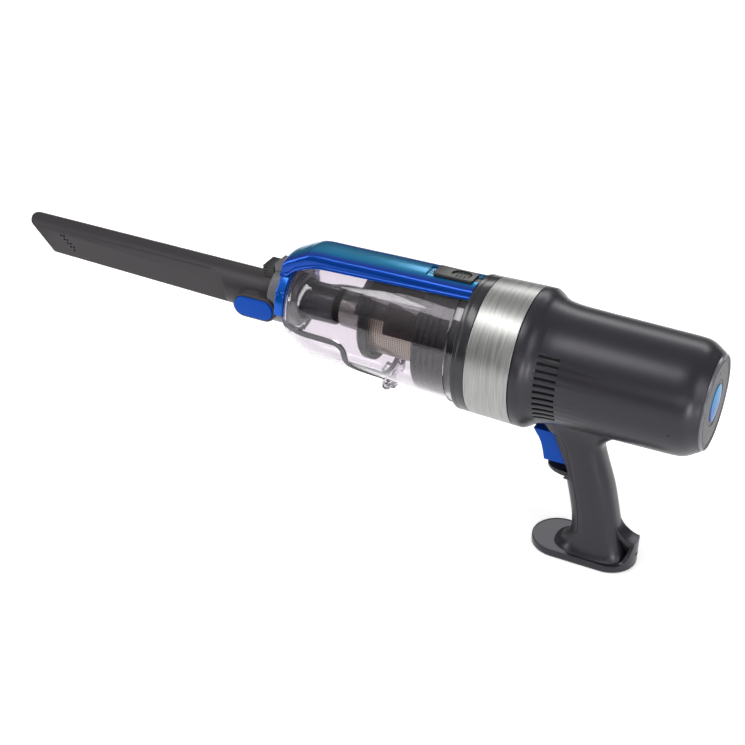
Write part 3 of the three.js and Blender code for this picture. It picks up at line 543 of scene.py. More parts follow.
def group(name: str, inputs: dict[str, str], outputs: dict[str, str]) -> tuple[Tree, object, object]:
    """Starts a shader group.

    Args:
        name: the group's name.
        inputs: socket names and types.
        outputs: socket names and types.

    Returns:
        The tree, the input node's sockets and the output node's sockets.
    """
    made = bpy.data.node_groups.new(name, "ShaderNodeTree")
    for label, kind in inputs.items():
        made.interface.new_socket(label, in_out="INPUT", socket_type=f"NodeSocket{kind}")
    for label, kind in outputs.items():
        made.interface.new_socket(label, in_out="OUTPUT", socket_type=f"NodeSocket{kind}")
    tree = Tree(made)
    return tree, tree.add("NodeGroupInput").outputs, tree.add("NodeGroupOutput").inputs


class Effects:
    """The shader groups that several finishes share."""

    def __init__(self) -> None:
        """Builds every group once."""
        self.grain = self._grain()
        # The edge group paints highlights on sharp edges.
        self.edges = self._edge_highlight_group()
        self.polar = self._polar()
        self.brushed = self._brushed()
        self.holes = self._holes()
        self.smudge = self._smudge()

    @staticmethod
    def _grain() -> bpy.types.NodeTree:
        """Fine moulded grain with a slow drift of tone.

        Returns:
            The shader group.
        """
        tree, given, out = group(
            "moulded_grain",
            {"Vector": "Vector", "Color": "Color", "Scale": "Float", "Drift": "Float",
             "Roughness": "Float", "Spread": "Float"},
            {"Color": "Color", "Roughness": "Float", "Height": "Float"},
        )
        fine = tree.noise(given["Vector"], given["Scale"], 4)
        slow = tree.noise(given["Vector"], 22, 2)
        both = tree.math("ADD", tree.math("MULTIPLY", fine, 0.55), tree.math("MULTIPLY", slow, 0.45))
        shift = tree.math("MULTIPLY", tree.math("SUBTRACT", both, 0.5), given["Drift"])
        tone = tree.math("ADD", 1, shift)
        scaled = tree.add("ShaderNodeVectorMath", operation="SCALE")
        tree.feed(scaled.inputs[0], given["Color"])
        tree.feed(scaled.inputs["Scale"], tone)
        tree.feed(out["Color"], scaled.outputs[0])
        swing = tree.math("MULTIPLY", tree.math("SUBTRACT", both, 0.5), given["Spread"])
        tree.feed(out["Roughness"], tree.math("ADD", given["Roughness"], swing, clamp=True))
        tree.feed(out["Height"], fine)
        return tree.tree

    @staticmethod
    def _edge_highlight_group() -> bpy.types.NodeTree:
        """Painted edge highlight: a lighter colour where an edge sticks out, broken up by noise.

        Returns:
            The shader group.
        """
        tree, given, out = group(
            "painted_edge_highlight",
            {"Vector": "Vector", "Color": "Color", "Highlight Color": "Color", "Amount": "Float"},
            {"Color": "Color", "Mask": "Float"},
        )
        # Painted highlight: sharp edges found by the bevel normal are lightened towards the highlight colour.
        rounded = tree.add("ShaderNodeBevel", samples=4)
        rounded.inputs["Radius"].default_value = 0.0005
        plain = tree.add("ShaderNodeNewGeometry").outputs["Normal"]
        along = tree.add("ShaderNodeVectorMath", operation="DOT_PRODUCT")
        tree.feed(along.inputs[0], rounded.outputs[0])
        tree.feed(along.inputs[1], plain)
        sharp = tree.ramp(tree.math("SUBTRACT", 1, along.outputs["Value"]), 0.02, 0.2)
        broken = tree.ramp(tree.noise(given["Vector"], 420, 3), 0.35, 0.7)
        mask = tree.math("MULTIPLY", tree.math("MULTIPLY", sharp, broken), given["Amount"], clamp=True)
        tree.feed(out["Color"], tree.mix(mask, given["Color"], given["Highlight Color"]))
        tree.feed(out["Mask"], mask)
        return tree.tree

    @staticmethod
    def _polar() -> bpy.types.NodeTree:
        """Coordinates around the barrel: along, around and out.

        Returns:
            The shader group.
        """
        tree, given, out = group("around_barrel", {"Vector": "Vector"}, {"Vector": "Vector"})
        split = tree.add("ShaderNodeSeparateXYZ")
        tree.feed(split.inputs[0], given["Vector"])
        x, y, z = split.outputs
        around = tree.math("ARCTAN2", y, z)
        out_r = tree.math("SQRT", tree.math("ADD", tree.math("MULTIPLY", y, y), tree.math("MULTIPLY", z, z)))
        packed = tree.add("ShaderNodeCombineXYZ")
        for socket, source in zip(packed.inputs, (x, around, out_r)):
            tree.feed(socket, source)
        tree.feed(out["Vector"], packed.outputs[0])
        return tree.tree

    @staticmethod
    def _brushed() -> bpy.types.NodeTree:
        """Fine lines that run around the barrel.

        Returns:
            The shader group.
        """
        tree, given, out = group(
            "brushed_lines",
            {"Vector": "Vector", "Color": "Color", "Dark": "Color", "Roughness": "Float"},
            {"Color": "Color", "Roughness": "Float", "Height": "Float"},
        )
        stretch = tree.add("ShaderNodeMapping")
        tree.feed(stretch.inputs["Vector"], given["Vector"])
        tree.feed(stretch.inputs["Scale"], (2600, 2.6, 0))
        fine = tree.noise(stretch.outputs[0], 1, 4)
        wide = tree.add("ShaderNodeMapping")
        tree.feed(wide.inputs["Vector"], given["Vector"])
        tree.feed(wide.inputs["Scale"], (420, 1.1, 0))
        coarse = tree.noise(wide.outputs[0], 1, 2)
        lines = tree.math("ADD", tree.math("MULTIPLY", fine, 0.6), tree.math("MULTIPLY", coarse, 0.4))
        tree.feed(out["Color"], tree.mix(tree.ramp(lines, 0.3, 0.7), given["Dark"], given["Color"]))
        swing = tree.math("MULTIPLY", tree.math("SUBTRACT", lines, 0.5), 0.25)
        tree.feed(out["Roughness"], tree.math("ADD", given["Roughness"], swing, clamp=True))
        tree.feed(out["Height"], lines)
        return tree.tree

    @staticmethod
    def _holes() -> bpy.types.NodeTree:
        """Small round holes in staggered rows, as a mask.

        Returns:
            The shader group.
        """
        tree, given, out = group(
            "punched_holes",
            {"Vector": "Vector", "Pitch": "Float", "Radius": "Float", "Share": "Float"},
            {"Mask": "Float"},
        )
        split = tree.add("ShaderNodeSeparateXYZ")
        tree.feed(split.inputs[0], given["Vector"])
        along = tree.math("DIVIDE", split.outputs[0], given["Pitch"])
        around = tree.math("DIVIDE", tree.math("MULTIPLY", split.outputs[1], given["Radius"]), given["Pitch"])
        row = tree.math("FLOOR", along)
        odd = tree.math("MULTIPLY", tree.math("MODULO", tree.math("ABSOLUTE", row), 2), 0.5)
        u = tree.math("SUBTRACT", tree.math("FRACT", along), 0.5)
        v = tree.math("SUBTRACT", tree.math("FRACT", tree.math("ADD", around, odd)), 0.5)
        square = tree.math("ADD", tree.math("MULTIPLY", u, u), tree.math("MULTIPLY", v, v))
        distance = tree.math("SQRT", square)
        edge = tree.math("SUBTRACT", given["Share"], distance)
        tree.feed(out["Mask"], tree.ramp(edge, -0.04, 0.04))
        return tree.tree

    @staticmethod
    def _smudge() -> bpy.types.NodeTree:
        """Faint dust and handling marks that change the gloss.

        Returns:
            The shader group.
        """
        tree, given, out = group(
            "handling_marks",
            {"Vector": "Vector", "Roughness": "Float", "Amount": "Float"},
            {"Roughness": "Float", "Mask": "Float"},
        )
        broad = tree.ramp(tree.noise(given["Vector"], 16, 2), 0.4, 0.8)
        specks = tree.ramp(tree.noise(given["Vector"], 900, 1), 0.72, 0.8)
        mask = tree.math("ADD", tree.math("MULTIPLY", broad, 0.6), specks, clamp=True)
        change = tree.math("MULTIPLY", mask, given["Amount"])
        tree.feed(out["Roughness"], tree.math("ADD", given["Roughness"], change, clamp=True))
        tree.feed(out["Mask"], mask)
        return tree.tree


# ---- Finishes ---------------------------------------------------------------------------------


def shade(code: str) -> tuple[float, float, float, float]:
    """Turns a web colour code into a linear colour.

    Args:
        code: six hexadecimal digits.

    Returns:
        Red, green, blue and alpha.
    """
    parts = [int(code[i : i + 2], 16) / 255 for i in (0, 2, 4)]
    linear = [c / 12.92 if c <= 0.04045 else ((c + 0.055) / 1.055) ** 2.4 for c in parts]
    return (*linear, 1.0)


class Pattern(Enum):
    """What a finish shows besides its grain."""

    PLAIN = "plain"
    BRUSHED = "brushed"
    PUNCHED = "punched"
    # Painted reflection and painted edge highlight on the spine's crown.
    CROWN_REFLECTION = "crowned"
    CLEAR = "clear"
    LENS = "lens"


@dataclass(frozen=True)
class Finish:
    """A finish: its colours, gloss and the scale of its detail."""

    name: str
    color: str
    slot: str
    roughness: float = 0.4
    metallic: float = 0.0
    spread: float = 0.1
    drift: float = 0.12
    grain: float = 900
    bump: float = 0.02
    # Lighter colour and strength of the painted highlight on sharp edges.
    rim_highlight: str = "8c8c90"
    highlight_strength: float = 0.25
    coat: float = 0.0
    second: str = "202020"
    specular: float = 0.5
    pattern: Pattern = Pattern.PLAIN

    def material(self, effects: Effects, datum: Vector) -> bpy.types.Material:
        """Builds the finish as a material, once.

        Args:
            effects: the shared shader groups.
            datum: the point that patterns are centred on.

        Returns:
            The material.
        """
        label = f"{self.name}_finish"
        if label in bpy.data.materials:
            return bpy.data.materials[label]
        made = bpy.data.materials.new(label)
        made.use_nodes = True
        tree = Tree(made.node_tree)
        shader = made.node_tree.nodes["Principled BSDF"]
        place = tree.place(datum)
        around = self._use(tree, effects.polar, Vector=place).outputs["Vector"]
        color: object = shade(self.color)
        rough: object = self.roughness
        height: object = None
        # The spine's colour carries a painted reflection on its crown and a painted edge highlight.
        if self.pattern is Pattern.CROWN_REFLECTION:
            color = self._painted_crown_sheen(tree, place)
        if self.pattern is Pattern.LENS:
            color = self._lens_painted_shade(tree, place)
        if self.pattern is Pattern.BRUSHED:
            lines = self._use(
                tree, effects.brushed, Vector=around, Color=color, Dark=shade(self.second), Roughness=rough
            )
            color, rough, height = (lines.outputs[n] for n in ("Color", "Roughness", "Height"))
        if self.pattern is Pattern.PUNCHED:
            holes = self._use(
                tree, effects.holes, Vector=around, Pitch=0.0019, Radius=0.027, Share=0.33
            ).outputs["Mask"]
            # Painted shade: the holes take the dark second colour, standing in for the shade seen through the
            # openings.
            color = tree.mix(holes, color, shade(self.second))
            height = tree.math("SUBTRACT", 1, holes)
        grain = self._use(
            tree, effects.grain, Vector=place, Color=color, Scale=self.grain, Drift=self.drift,
            Roughness=rough, Spread=self.spread,
        )
        # Painted highlight: sharp edges are lightened towards the finish's highlight colour.
        rim_highlight = self._use(
            tree, effects.edges, Vector=place, Color=grain.outputs["Color"],
            **{"Highlight Color": shade(self.rim_highlight)}, Amount=self.highlight_strength,
        )
        marks = self._use(
            tree, effects.smudge, Vector=place, Roughness=grain.outputs["Roughness"], Amount=0.06
        )
        bump = tree.add("ShaderNodeBump")
        bump.inputs["Strength"].default_value = self.bump * 10
        bump.inputs["Distance"].default_value = 0.00004
        tree.feed(bump.inputs["Height"], height if height is not None else grain.outputs["Height"])
        tree.feed(shader.inputs["Base Color"], rim_highlight.outputs["Color"])
        tree.feed(shader.inputs["Roughness"], marks.outputs["Roughness"])
        tree.feed(shader.inputs["Normal"], bump.outputs[0])
        shader.inputs["Metallic"].default_value = self.metallic
        shader.inputs["Specular IOR Level"].default_value = self.specular
        shader.inputs["Coat Weight"].default_value = self.coat
        shader.inputs["Coat Roughness"].default_value = 0.08
        if self.pattern is Pattern.CLEAR:
            self._clear(tree, shader)
        return made

    @staticmethod
    def _use(tree: Tree, made: bpy.types.NodeTree, **values: object) -> bpy.types.Node:
        """Places a shader group.

        Args:
            tree: the tree that it is placed in.
            made: the group.
            **values: what its sockets are fed.

        Returns:
            The node.
        """
        node = tree.add("ShaderNodeGroup", node_tree=made)
        for name, value in values.items():
            tree.feed(node.inputs[name], value)
        return node

    def _painted_crown_sheen(self, tree: Tree, place: Socket) -> Socket:
        """Blue lacquer painted with a reflection: teal on the crown turning to deep blue on the flanks, and a thin
        violet line painted as an edge highlight.

        Args:
            tree: the material's tree.
            place: the coordinates from the datum.

        Returns:
            The colour.
        """
        split = tree.add("ShaderNodeSeparateXYZ")
        tree.feed(split.inputs[0], place)
        side = tree.math("ABSOLUTE", split.outputs[1])
        # Painted reflection: the teal second colour on the crown stands in for the light reflected in the lacquer;
        # the flanks keep the deep blue.
        crown = tree.mix(tree.ramp(side, 0.006, 0.0128), shade(self.second), shade(self.color))
        # Painted highlight: a thin violet line along the edge of the crown's rise, mixed in at 0.6.
        line = tree.math("SUBTRACT", tree.ramp(side, 0.0118, 0.0124), tree.ramp(side, 0.0126, 0.0132))
        return tree.mix(tree.math("MULTIPLY", line, 0.6), crown, shade("2b2a86"))

    def _lens_painted_shade(self, tree: Tree, place: Socket) -> Socket:
        """Painted shade: the blue turns darker towards the bottom, standing in for the shadow in the lens's
        recess.

        Args:
            tree: the material's tree.
            place: the coordinates from the datum.

        Returns:
            The colour.
        """
        split = tree.add("ShaderNodeSeparateXYZ")
        tree.feed(split.inputs[0], place)
        # Painted shade: the darker second blue low on the lens stands in for the crescent of shadow in its recess.
        return tree.mix(tree.ramp(split.outputs[2], -0.008, 0.013), shade(self.second), shade(self.color))

    def _clear(self, tree: Tree, shader: bpy.types.Node) -> None:
        """See-through plastic that lets most light reach what it holds.

        Args:
            tree: the material's tree.
            shader: its main shader.
        """
        shader.inputs["Transmission Weight"].default_value = 1.0
        shader.inputs["IOR"].default_value = 1.47
        path = tree.add("ShaderNodeLightPath")
        shadow = tree.math("MULTIPLY", path.outputs["Is Shadow Ray"], 0.85)
        tree.feed(shader.inputs["Alpha"], tree.math("SUBTRACT", 1, shadow))


class Look:
    """Every finish of the vacuum."""

    # The lighter colour after each finish's bump value paints the highlight on its sharp edges.
    gunmetal = Finish("gunmetal_paint", "27252c", "gunmetal_shell", 0.31, 0.4, 0.08, 0.1, 2600, 0.012,
                      "55545b", 0.2, 0.0)
    # Painted shade: near-black for the walls and floor of the closed vent slots, standing in for the shade inside
    # open vents.
    vent_shade = Finish("vent_painted_shade", "0a0a0b", "black_plastic", 0.7)
    band = Finish("brushed_band", "a8a8a6", "brushed_band", 0.36, 1.0, 0.05, 0.05, 900, 0.03,
                  "c0c0be", 0.3, 0.0, "868684", pattern=Pattern.BRUSHED)
    collar = Finish("smoky_collar", "232326", "dark_plastic", 0.22, 0.1, 0.08, 0.1, 700, 0.01, "9a9aa0", 0.3)
    clear = Finish("clear_bin", "e2dde3", "clear_plastic", 0.02, 0.0, 0.01, 0.02, 300, 0.004, "ffffff", 0.1,
                   pattern=Pattern.CLEAR)
    smoky = Finish("smoky_cover", "6a646c", "smoky_plastic", 0.08, 0.0, 0.04, 0.1, 300, 0.006, "8a8a8e", 0.2,
                   pattern=Pattern.CLEAR)
    # The teal second colour is a painted reflection on the crown.
    spine = Finish("blue_lacquer", "013f9c", "blue_metallic", 0.2, 0.6, 0.04, 0.06, 3000, 0.006,
                   "2f7ac8", 0.1, 0.15, "00739c", 0.3, pattern=Pattern.CROWN_REFLECTION)
    joint_blue = Finish("blue_joint", "0150b0", "blue_metallic", 0.2, 0.6, 0.06, 0.08, 2600, 0.01,
                        "3f8fe0", 0.3, 0.2, specular=0.3)
    button_blue = Finish("blue_button", "003f98", "blue_plastic", 0.34, 0.0, 0.08, 0.06, 1800, 0.012,
                         "2f74cc", 0.25, specular=0.12)
    # The darker second blue is painted shade low on the lens.
    lens = Finish("blue_lens", "0e7fb4", "blue_plastic", 0.3, 0.0, 0.05, 0.05, 900, 0.004, "9ad0f0", 0.2,
                  0.0, "0a4f96", 0.15, pattern=Pattern.LENS)
    tool = Finish("tool_plastic", "282327", "tool_plastic", 0.42, 0.0, 0.12, 0.14, 2200, 0.03, "77747a", 0.3,
                  specular=0.4)
    grey = Finish("grey_plastic", "58585c", "grey_plastic", 0.36, 0.1, 0.1, 0.1, 1800, 0.02, "a5a5aa", 0.3)
    black = Finish("black_plastic", "0c0c0e", "black_plastic", 0.32, 0.0, 0.1, 0.12, 1600, 0.02,
                   "55555a", 0.35)
    inner = Finish("inner_dark", "1b1a1c", "black_plastic", 0.25, 0.2, 0.1, 0.12, 1200, 0.02, "6a6a6e", 0.3)
    duct = Finish("duct_grey", "343236", "black_plastic", 0.25, 0.3, 0.1, 0.12, 1200, 0.02, "6a6a6e", 0.3)
    # The pale tan edge colour is a painted highlight on the cone.
    chrome_grey = Finish("satin_cone", "8a8784", "grey_plastic", 0.22, 0.8, 0.08, 0.1, 900, 0.01,
                         "d8c7a8", 0.3)
    # The dark second colour is painted shade in the punched holes.
    mesh = Finish("punched_mesh", "b9ad9c", "steel", 0.36, 0.8, 0.08, 0.1, 900, 0.06, "d8d0c4", 0.2,
                  0.0, "2a2622", pattern=Pattern.PUNCHED)
    seal = Finish("seal_rubber", "4a484c", "seal_rubber", 0.55, 0.0, 0.12, 0.14, 1400, 0.03, "8a8a8e", 0.2)
    steel = Finish("plain_steel", "b4b4b6", "steel", 0.28, 1.0, 0.1, 0.1, 1200, 0.01, "e0e0e0", 0.3)
    copper = Finish("copper_wire", "b26f3c", "copper_winding", 0.34, 1.0, 0.12, 0.25, 1600, 0.05,
                    "e0a878", 0.3)
    board = Finish("circuit_board", "1f5a3c", "circuit_board", 0.42, 0.0, 0.12, 0.3, 700, 0.03, "6a8a70", 0.3)
    paper = Finish("filter_paper", "e6e2d8", "filter_paper", 0.9, 0.0, 0.05, 0.12, 2400, 0.08, "ffffff", 0.1)
    sleeve = Finish("cell_sleeve", "2f7c90", "cell_sleeve", 0.3, 0.1, 0.08, 0.1, 900, 0.01, "80b0c0", 0.3)
    cap = Finish("rear_cap_paint", "353135", "gunmetal_shell", 0.45, 0.2, 0.08, 0.1, 2600, 0.012,
                 "8a8a90", 0.2)
    ring = Finish("cap_ring_paint", "6c6c72", "grey_plastic", 0.3, 0.6, 0.06, 0.08, 2000, 0.01, "d0d0d4", 0.3)


class Bench:
    """Turns solids drawn in the barrel's frame into finished pieces."""

    def __init__(self) -> None:
        """Finds the barrel's datum from the frame and builds the shader groups."""
        low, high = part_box("silver_band")
        self.datum = Vector((low.x, 0, (low.z + high.z) / 2))
        self.to_row = Matrix.Translation(self.datum) @ Matrix.Scale(MM, 4)
        self.effects = Effects()

    def piece(
        self,
        name: str,
        bm: Solid,
        body: str,
        finishes: Sequence[Finish],
        replaces: Iterable[str] = (),
        limit: float = 32,
    ) -> bpy.types.Object:
        """Makes a piece from a solid and puts it on its body.

        Args:
            name: the piece's name.
            bm: the solid, in millimetres in the barrel's frame; it is used up.
            body: the CAD body that it rides on.
            finishes: the finish of each material index.
            replaces: the CAD nodes that it stands for.
            limit: edges past this many degrees stay sharp.

        Returns:
            The piece.
        """
        bmesh.ops.transform(bm, matrix=self.to_row, verts=bm.verts)
        sharpen(bm, limit)
        mesh = bpy.data.meshes.new(name)
        bm.to_mesh(mesh)
        bm.free()
        item = bpy.data.objects.new(name, mesh)
        bpy.context.scene.collection.objects.link(item)
        for finish in finishes:
            mesh.materials.append(finish.material(self.effects, self.datum))
        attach(item, body)
        if replaces:
            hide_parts(*replaces)
        LOG.info("%s: %d faces on %s", name, len(mesh.polygons), body)
        return item

    def lathe(
        self, name: str, profile: Outline, steps: int, body: str, finish: Finish, node: str, limit: float = 32
    ) -> bpy.types.Object:
        """Makes a round piece that stands for one CAD node.

        Args:
            name: the piece's name.
            profile: x and radius of each corner.
            steps: divisions of the whole turn.
            body: the CAD body that it rides on.
            finish: its finish.
            node: the CAD node that it stands for.
            limit: edges past this many degrees stay sharp.

        Returns:
            The piece.
        """
        return self.piece(name, turned(profile, steps), body, [finish], [node], limit)

    def dress(self, finish: Finish, *nodes: str) -> None:
        """Gives CAD nodes a finish.

        Args:
            finish: the finish.
            *nodes: their names.
        """
        for node in nodes:
            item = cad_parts[node]
            item.data.materials.clear()
            item.data.materials.append(finish.material(self.effects, self.datum))
            LOG.info("%s: dressed with %s", node, finish.name)

    @staticmethod
    def ease(item: bpy.types.Object, width: float, angle: float) -> None:
        """Eases a piece's sharp edges with a live modifier.

        Args:
            item: the piece.
            width: how far the easing reaches, in millimetres.
            angle: edges past this many degrees are eased.
        """
        easing = item.modifiers.new("edges", "BEVEL")
        easing.width = width * MM
        easing.segments = 2
        easing.limit_method = "ANGLE"
        easing.angle_limit = math.radians(angle)
        easing.harden_normals = True

    def dimension(self, node: str) -> tuple[Point, Point, Point]:
        """Gives a node's x, y and z ranges in millimetres in the barrel's frame."""
        low, high = ((corner - self.datum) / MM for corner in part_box(node))
        return (low.x, high.x), (low.y, high.y), (low.z, high.z)


def lofted(rows: Sequence[Sequence[Vector]]) -> Solid:
    """Skins a row of closed sections and caps its ends.

    Args:
        rows: the sections, which have the same number of points.

    Returns:
        The solid.
    """
    bm = bmesh.new()
    rings = [[bm.verts.new(p) for p in row] for row in rows]
    for near, far in zip(rings, rings[1:]):
        for i, vert in enumerate(near):
            j = (i + 1) % len(near)
            bm.faces.new((vert, near[j], far[j], far[i]))
    bm.faces.new(rings[0])
    bm.faces.new(rings[-1])
    return tidy(bm)


def between(points: Sequence[Point], x: float) -> float:
    """Reads a line of (x, value) points.

    Args:
        points: the line, in order of x.
        x: where it is read.

    Returns:
        The value at x.
    """
    for (x0, v0), (x1, v1) in zip(points, points[1:]):
        if x <= x1:
            return v0 + (v1 - v0) * max(0.0, (x - x0) / (x1 - x0))
    return points[-1][1]


# ---- Motor barrel -----------------------------------------------------------------------------


@dataclass
class Barrel:
    """The motor barrel: silver band, collar, vented shell and rear cap, in millimetres."""

    bench: Bench
    radius: float = 53.2
    neck_radius: float = 45.1
    wall: float = 2.5
    vents: int = 11
    vent_start: float = 51
    vent_end: float = 67.5
    vent_pitch: float = 20 / 3
    vent_first: float = 170 / 3
    lamp_ahead: float = 17
    steps: int = 216

    def build(self) -> None:
        """Makes every piece of the barrel."""
        self._shell()
        self._band()
        self._collar()
        self._cap()

    def _outside(self) -> Outline:
        """The shell's outline behind the silver band.

        Returns:
            x and radius of each corner.
        """
        shoulder = flowing([(40.4, self.radius), (43.3, 51.7), (47, 49), (self.vent_start, 47)], 4)
        neck = flowing([(self.vent_start, 47), (58, 45.8), (self.vent_end, self.neck_radius)], 4)
        tail = flowing([(146, 43.8), (153, 43.6), (158.6, 42.9), (163, 41.2), (167, 38.7), (170, 36.8)], 4)
        return [(34.8, self.radius - 0.5), (35.1, self.radius), *shoulder, *neck[1:], (100, 44.5), *tail]

    def _shell(self) -> None:
        """The painted shell, with slots down both sides and a pinhole lamp near its tail."""
        outside = self._outside()
        inside = [(x, r - self.wall) for x, r in reversed(outside[1:])]
        profile = [*outside, (170.4, 36.3), (170.2, 35.9), *inside]
        lamp_x = self.bench.dimension("cap_ring")[0][0] - self.lamp_ahead
        lamp = rod(Axis.Y, (lamp_x, -9), 1, -self.radius, -self.radius + 11, steps=20)
        bm = combined(turned(profile, self.steps), Join.CUT, lamp)
        for index in range(self.vents):
            angle = self.vent_first + index * self.vent_pitch
            for side in (-1, 1):
                self._sink(bm, math.radians(angle) * side)
        self.bench.piece("barrel_shell", bm, "main", [Look.gunmetal, Look.vent_shade], ["body_shell"])

    def _sink(self, bm: Solid, angle: float) -> None:
        """Sinks one slot into the shell.

        Args:
            bm: the shell, changed in place.
            angle: radians from the top to its centre.
        """
        half = math.radians(360 / self.steps)
        out = Vector((0, -math.sin(angle), math.cos(angle)))
        chosen = []
        for face in bm.faces:
            spot = face.calc_center_median()
            flat = Vector((0, spot.y, spot.z))
            if not self.vent_start < spot.x < self.vent_end or face.normal.dot(out) < 0.5:
                continue
            if flat.angle(out) < half:
                chosen.append(face)
        bmesh.ops.inset_region(bm, faces=chosen, thickness=0.22, depth=-0.12, use_even_offset=True)
        grown = bmesh.ops.extrude_face_region(bm, geom=chosen)["geom"]
        bmesh.ops.delete(bm, geom=[f for f in chosen if f.is_valid], context="FACES_ONLY")
        floor = [f for f in grown if isinstance(f, bmesh.types.BMFace)]
        verts = [v for v in grown if isinstance(v, bmesh.types.BMVert)]
        bmesh.ops.translate(bm, verts=verts, vec=-out * (self.wall - 0.4))
        # Painted shade: the slot's walls and floor take the near-black finish, standing in for the shade inside an
        # open vent.
        for face in {f for v in verts for f in v.link_faces} | set(floor):
            face.material_index = 1

    def _band(self) -> None:
        """The brushed metal band, slightly wider behind."""
        (x0, x1), _, (_, r) = self.bench.dimension("silver_band")
        profile = soften([(x0, r - 1.5), (x0, r - 0.7), (x1, r), (x1, r - 1.5)], 0.45, 4)
        self.bench.lathe("brushed_band", profile, self.steps, "main", Look.band, "silver_band", 60)

    def _collar(self) -> None:
        """The dark collar that the bin plugs into."""
        (x0, x1), _, (_, r) = self.bench.dimension("front_collar")
        profile = soften(
            [(x0, r - 2), (x0, r), (x0 + 3, r), (x0 + 3.3, r - 0.35), (x0 + 3.9, r - 0.35), (x0 + 4.2, r),
             (x1, r), (x1, r - 6.8), (x1 - 6.7, r - 6.8), (x1 - 6.7, r - 2)], 0.5, 3)
        self.bench.lathe("bin_collar", profile, self.steps, "main", Look.collar, "front_collar", 60)

    def _cap(self) -> None:
        """The rear cap: a bright ring, a matt face and the lens-like mode button."""
        (x0, x1), _, (_, r) = self.bench.dimension("cap_ring")
        inner = r - 1.4
        profile = soften(
            [(x0, inner), (x1 - 0.3, inner), (x1, inner + 0.4), (x1, r - 0.4), (x1 - 0.4, r), (x0, r)], 0.15, 2)
        self.bench.lathe("cap_bright_ring", profile, self.steps, "main", Look.ring, "cap_ring")
        (x0, x1), _, (_, r) = self.bench.dimension("rear_cap")
        bore = self.bench.dimension("mode_button")[2][1] - 1.8
        profile = [(x0, bore), (x1 - 0.8, bore), (x1 - 0.2, bore + 0.5), (x1 - 0.2, bore + 2.4),
                   (x1 - 0.6, bore + 2.8), (x1 - 0.6, bore + 3.2), (x1, bore + 3.6), (x1, r - 3.2),
                   (x1 - 0.5, r - 2.8), (x1 - 0.5, r - 2.2), (x1 - 0.1, r - 1.8), (x1 - 0.3, r), (x0, r)]
        face = combined(turned(profile, self.steps), Join.CUT,
                        rod(Axis.X, (0, r - 10), 1, x1 - 0.8, x1 + 1, steps=20))
        self.bench.piece("cap_face", face, "main", [Look.cap], ["rear_cap"])
        (x0, x1), _, (_, r) = self.bench.dimension("mode_button")
        lens = r - 2
        dome = [(x1 - 1.1 * (t / 12) ** 2, lens * t / 12 * 0.985) for t in range(13)]
        profile = [(x0, 0), (x0, r), (x0 + 2, r), (x0 + 2, lens), (x1 - 1.4, lens), *reversed(dome)]
        self.bench.lathe("mode_lens", profile, 144, "mode_button", Look.lens, "mode_button")


# ---- Dust bin ---------------------------------------------------------------------------------


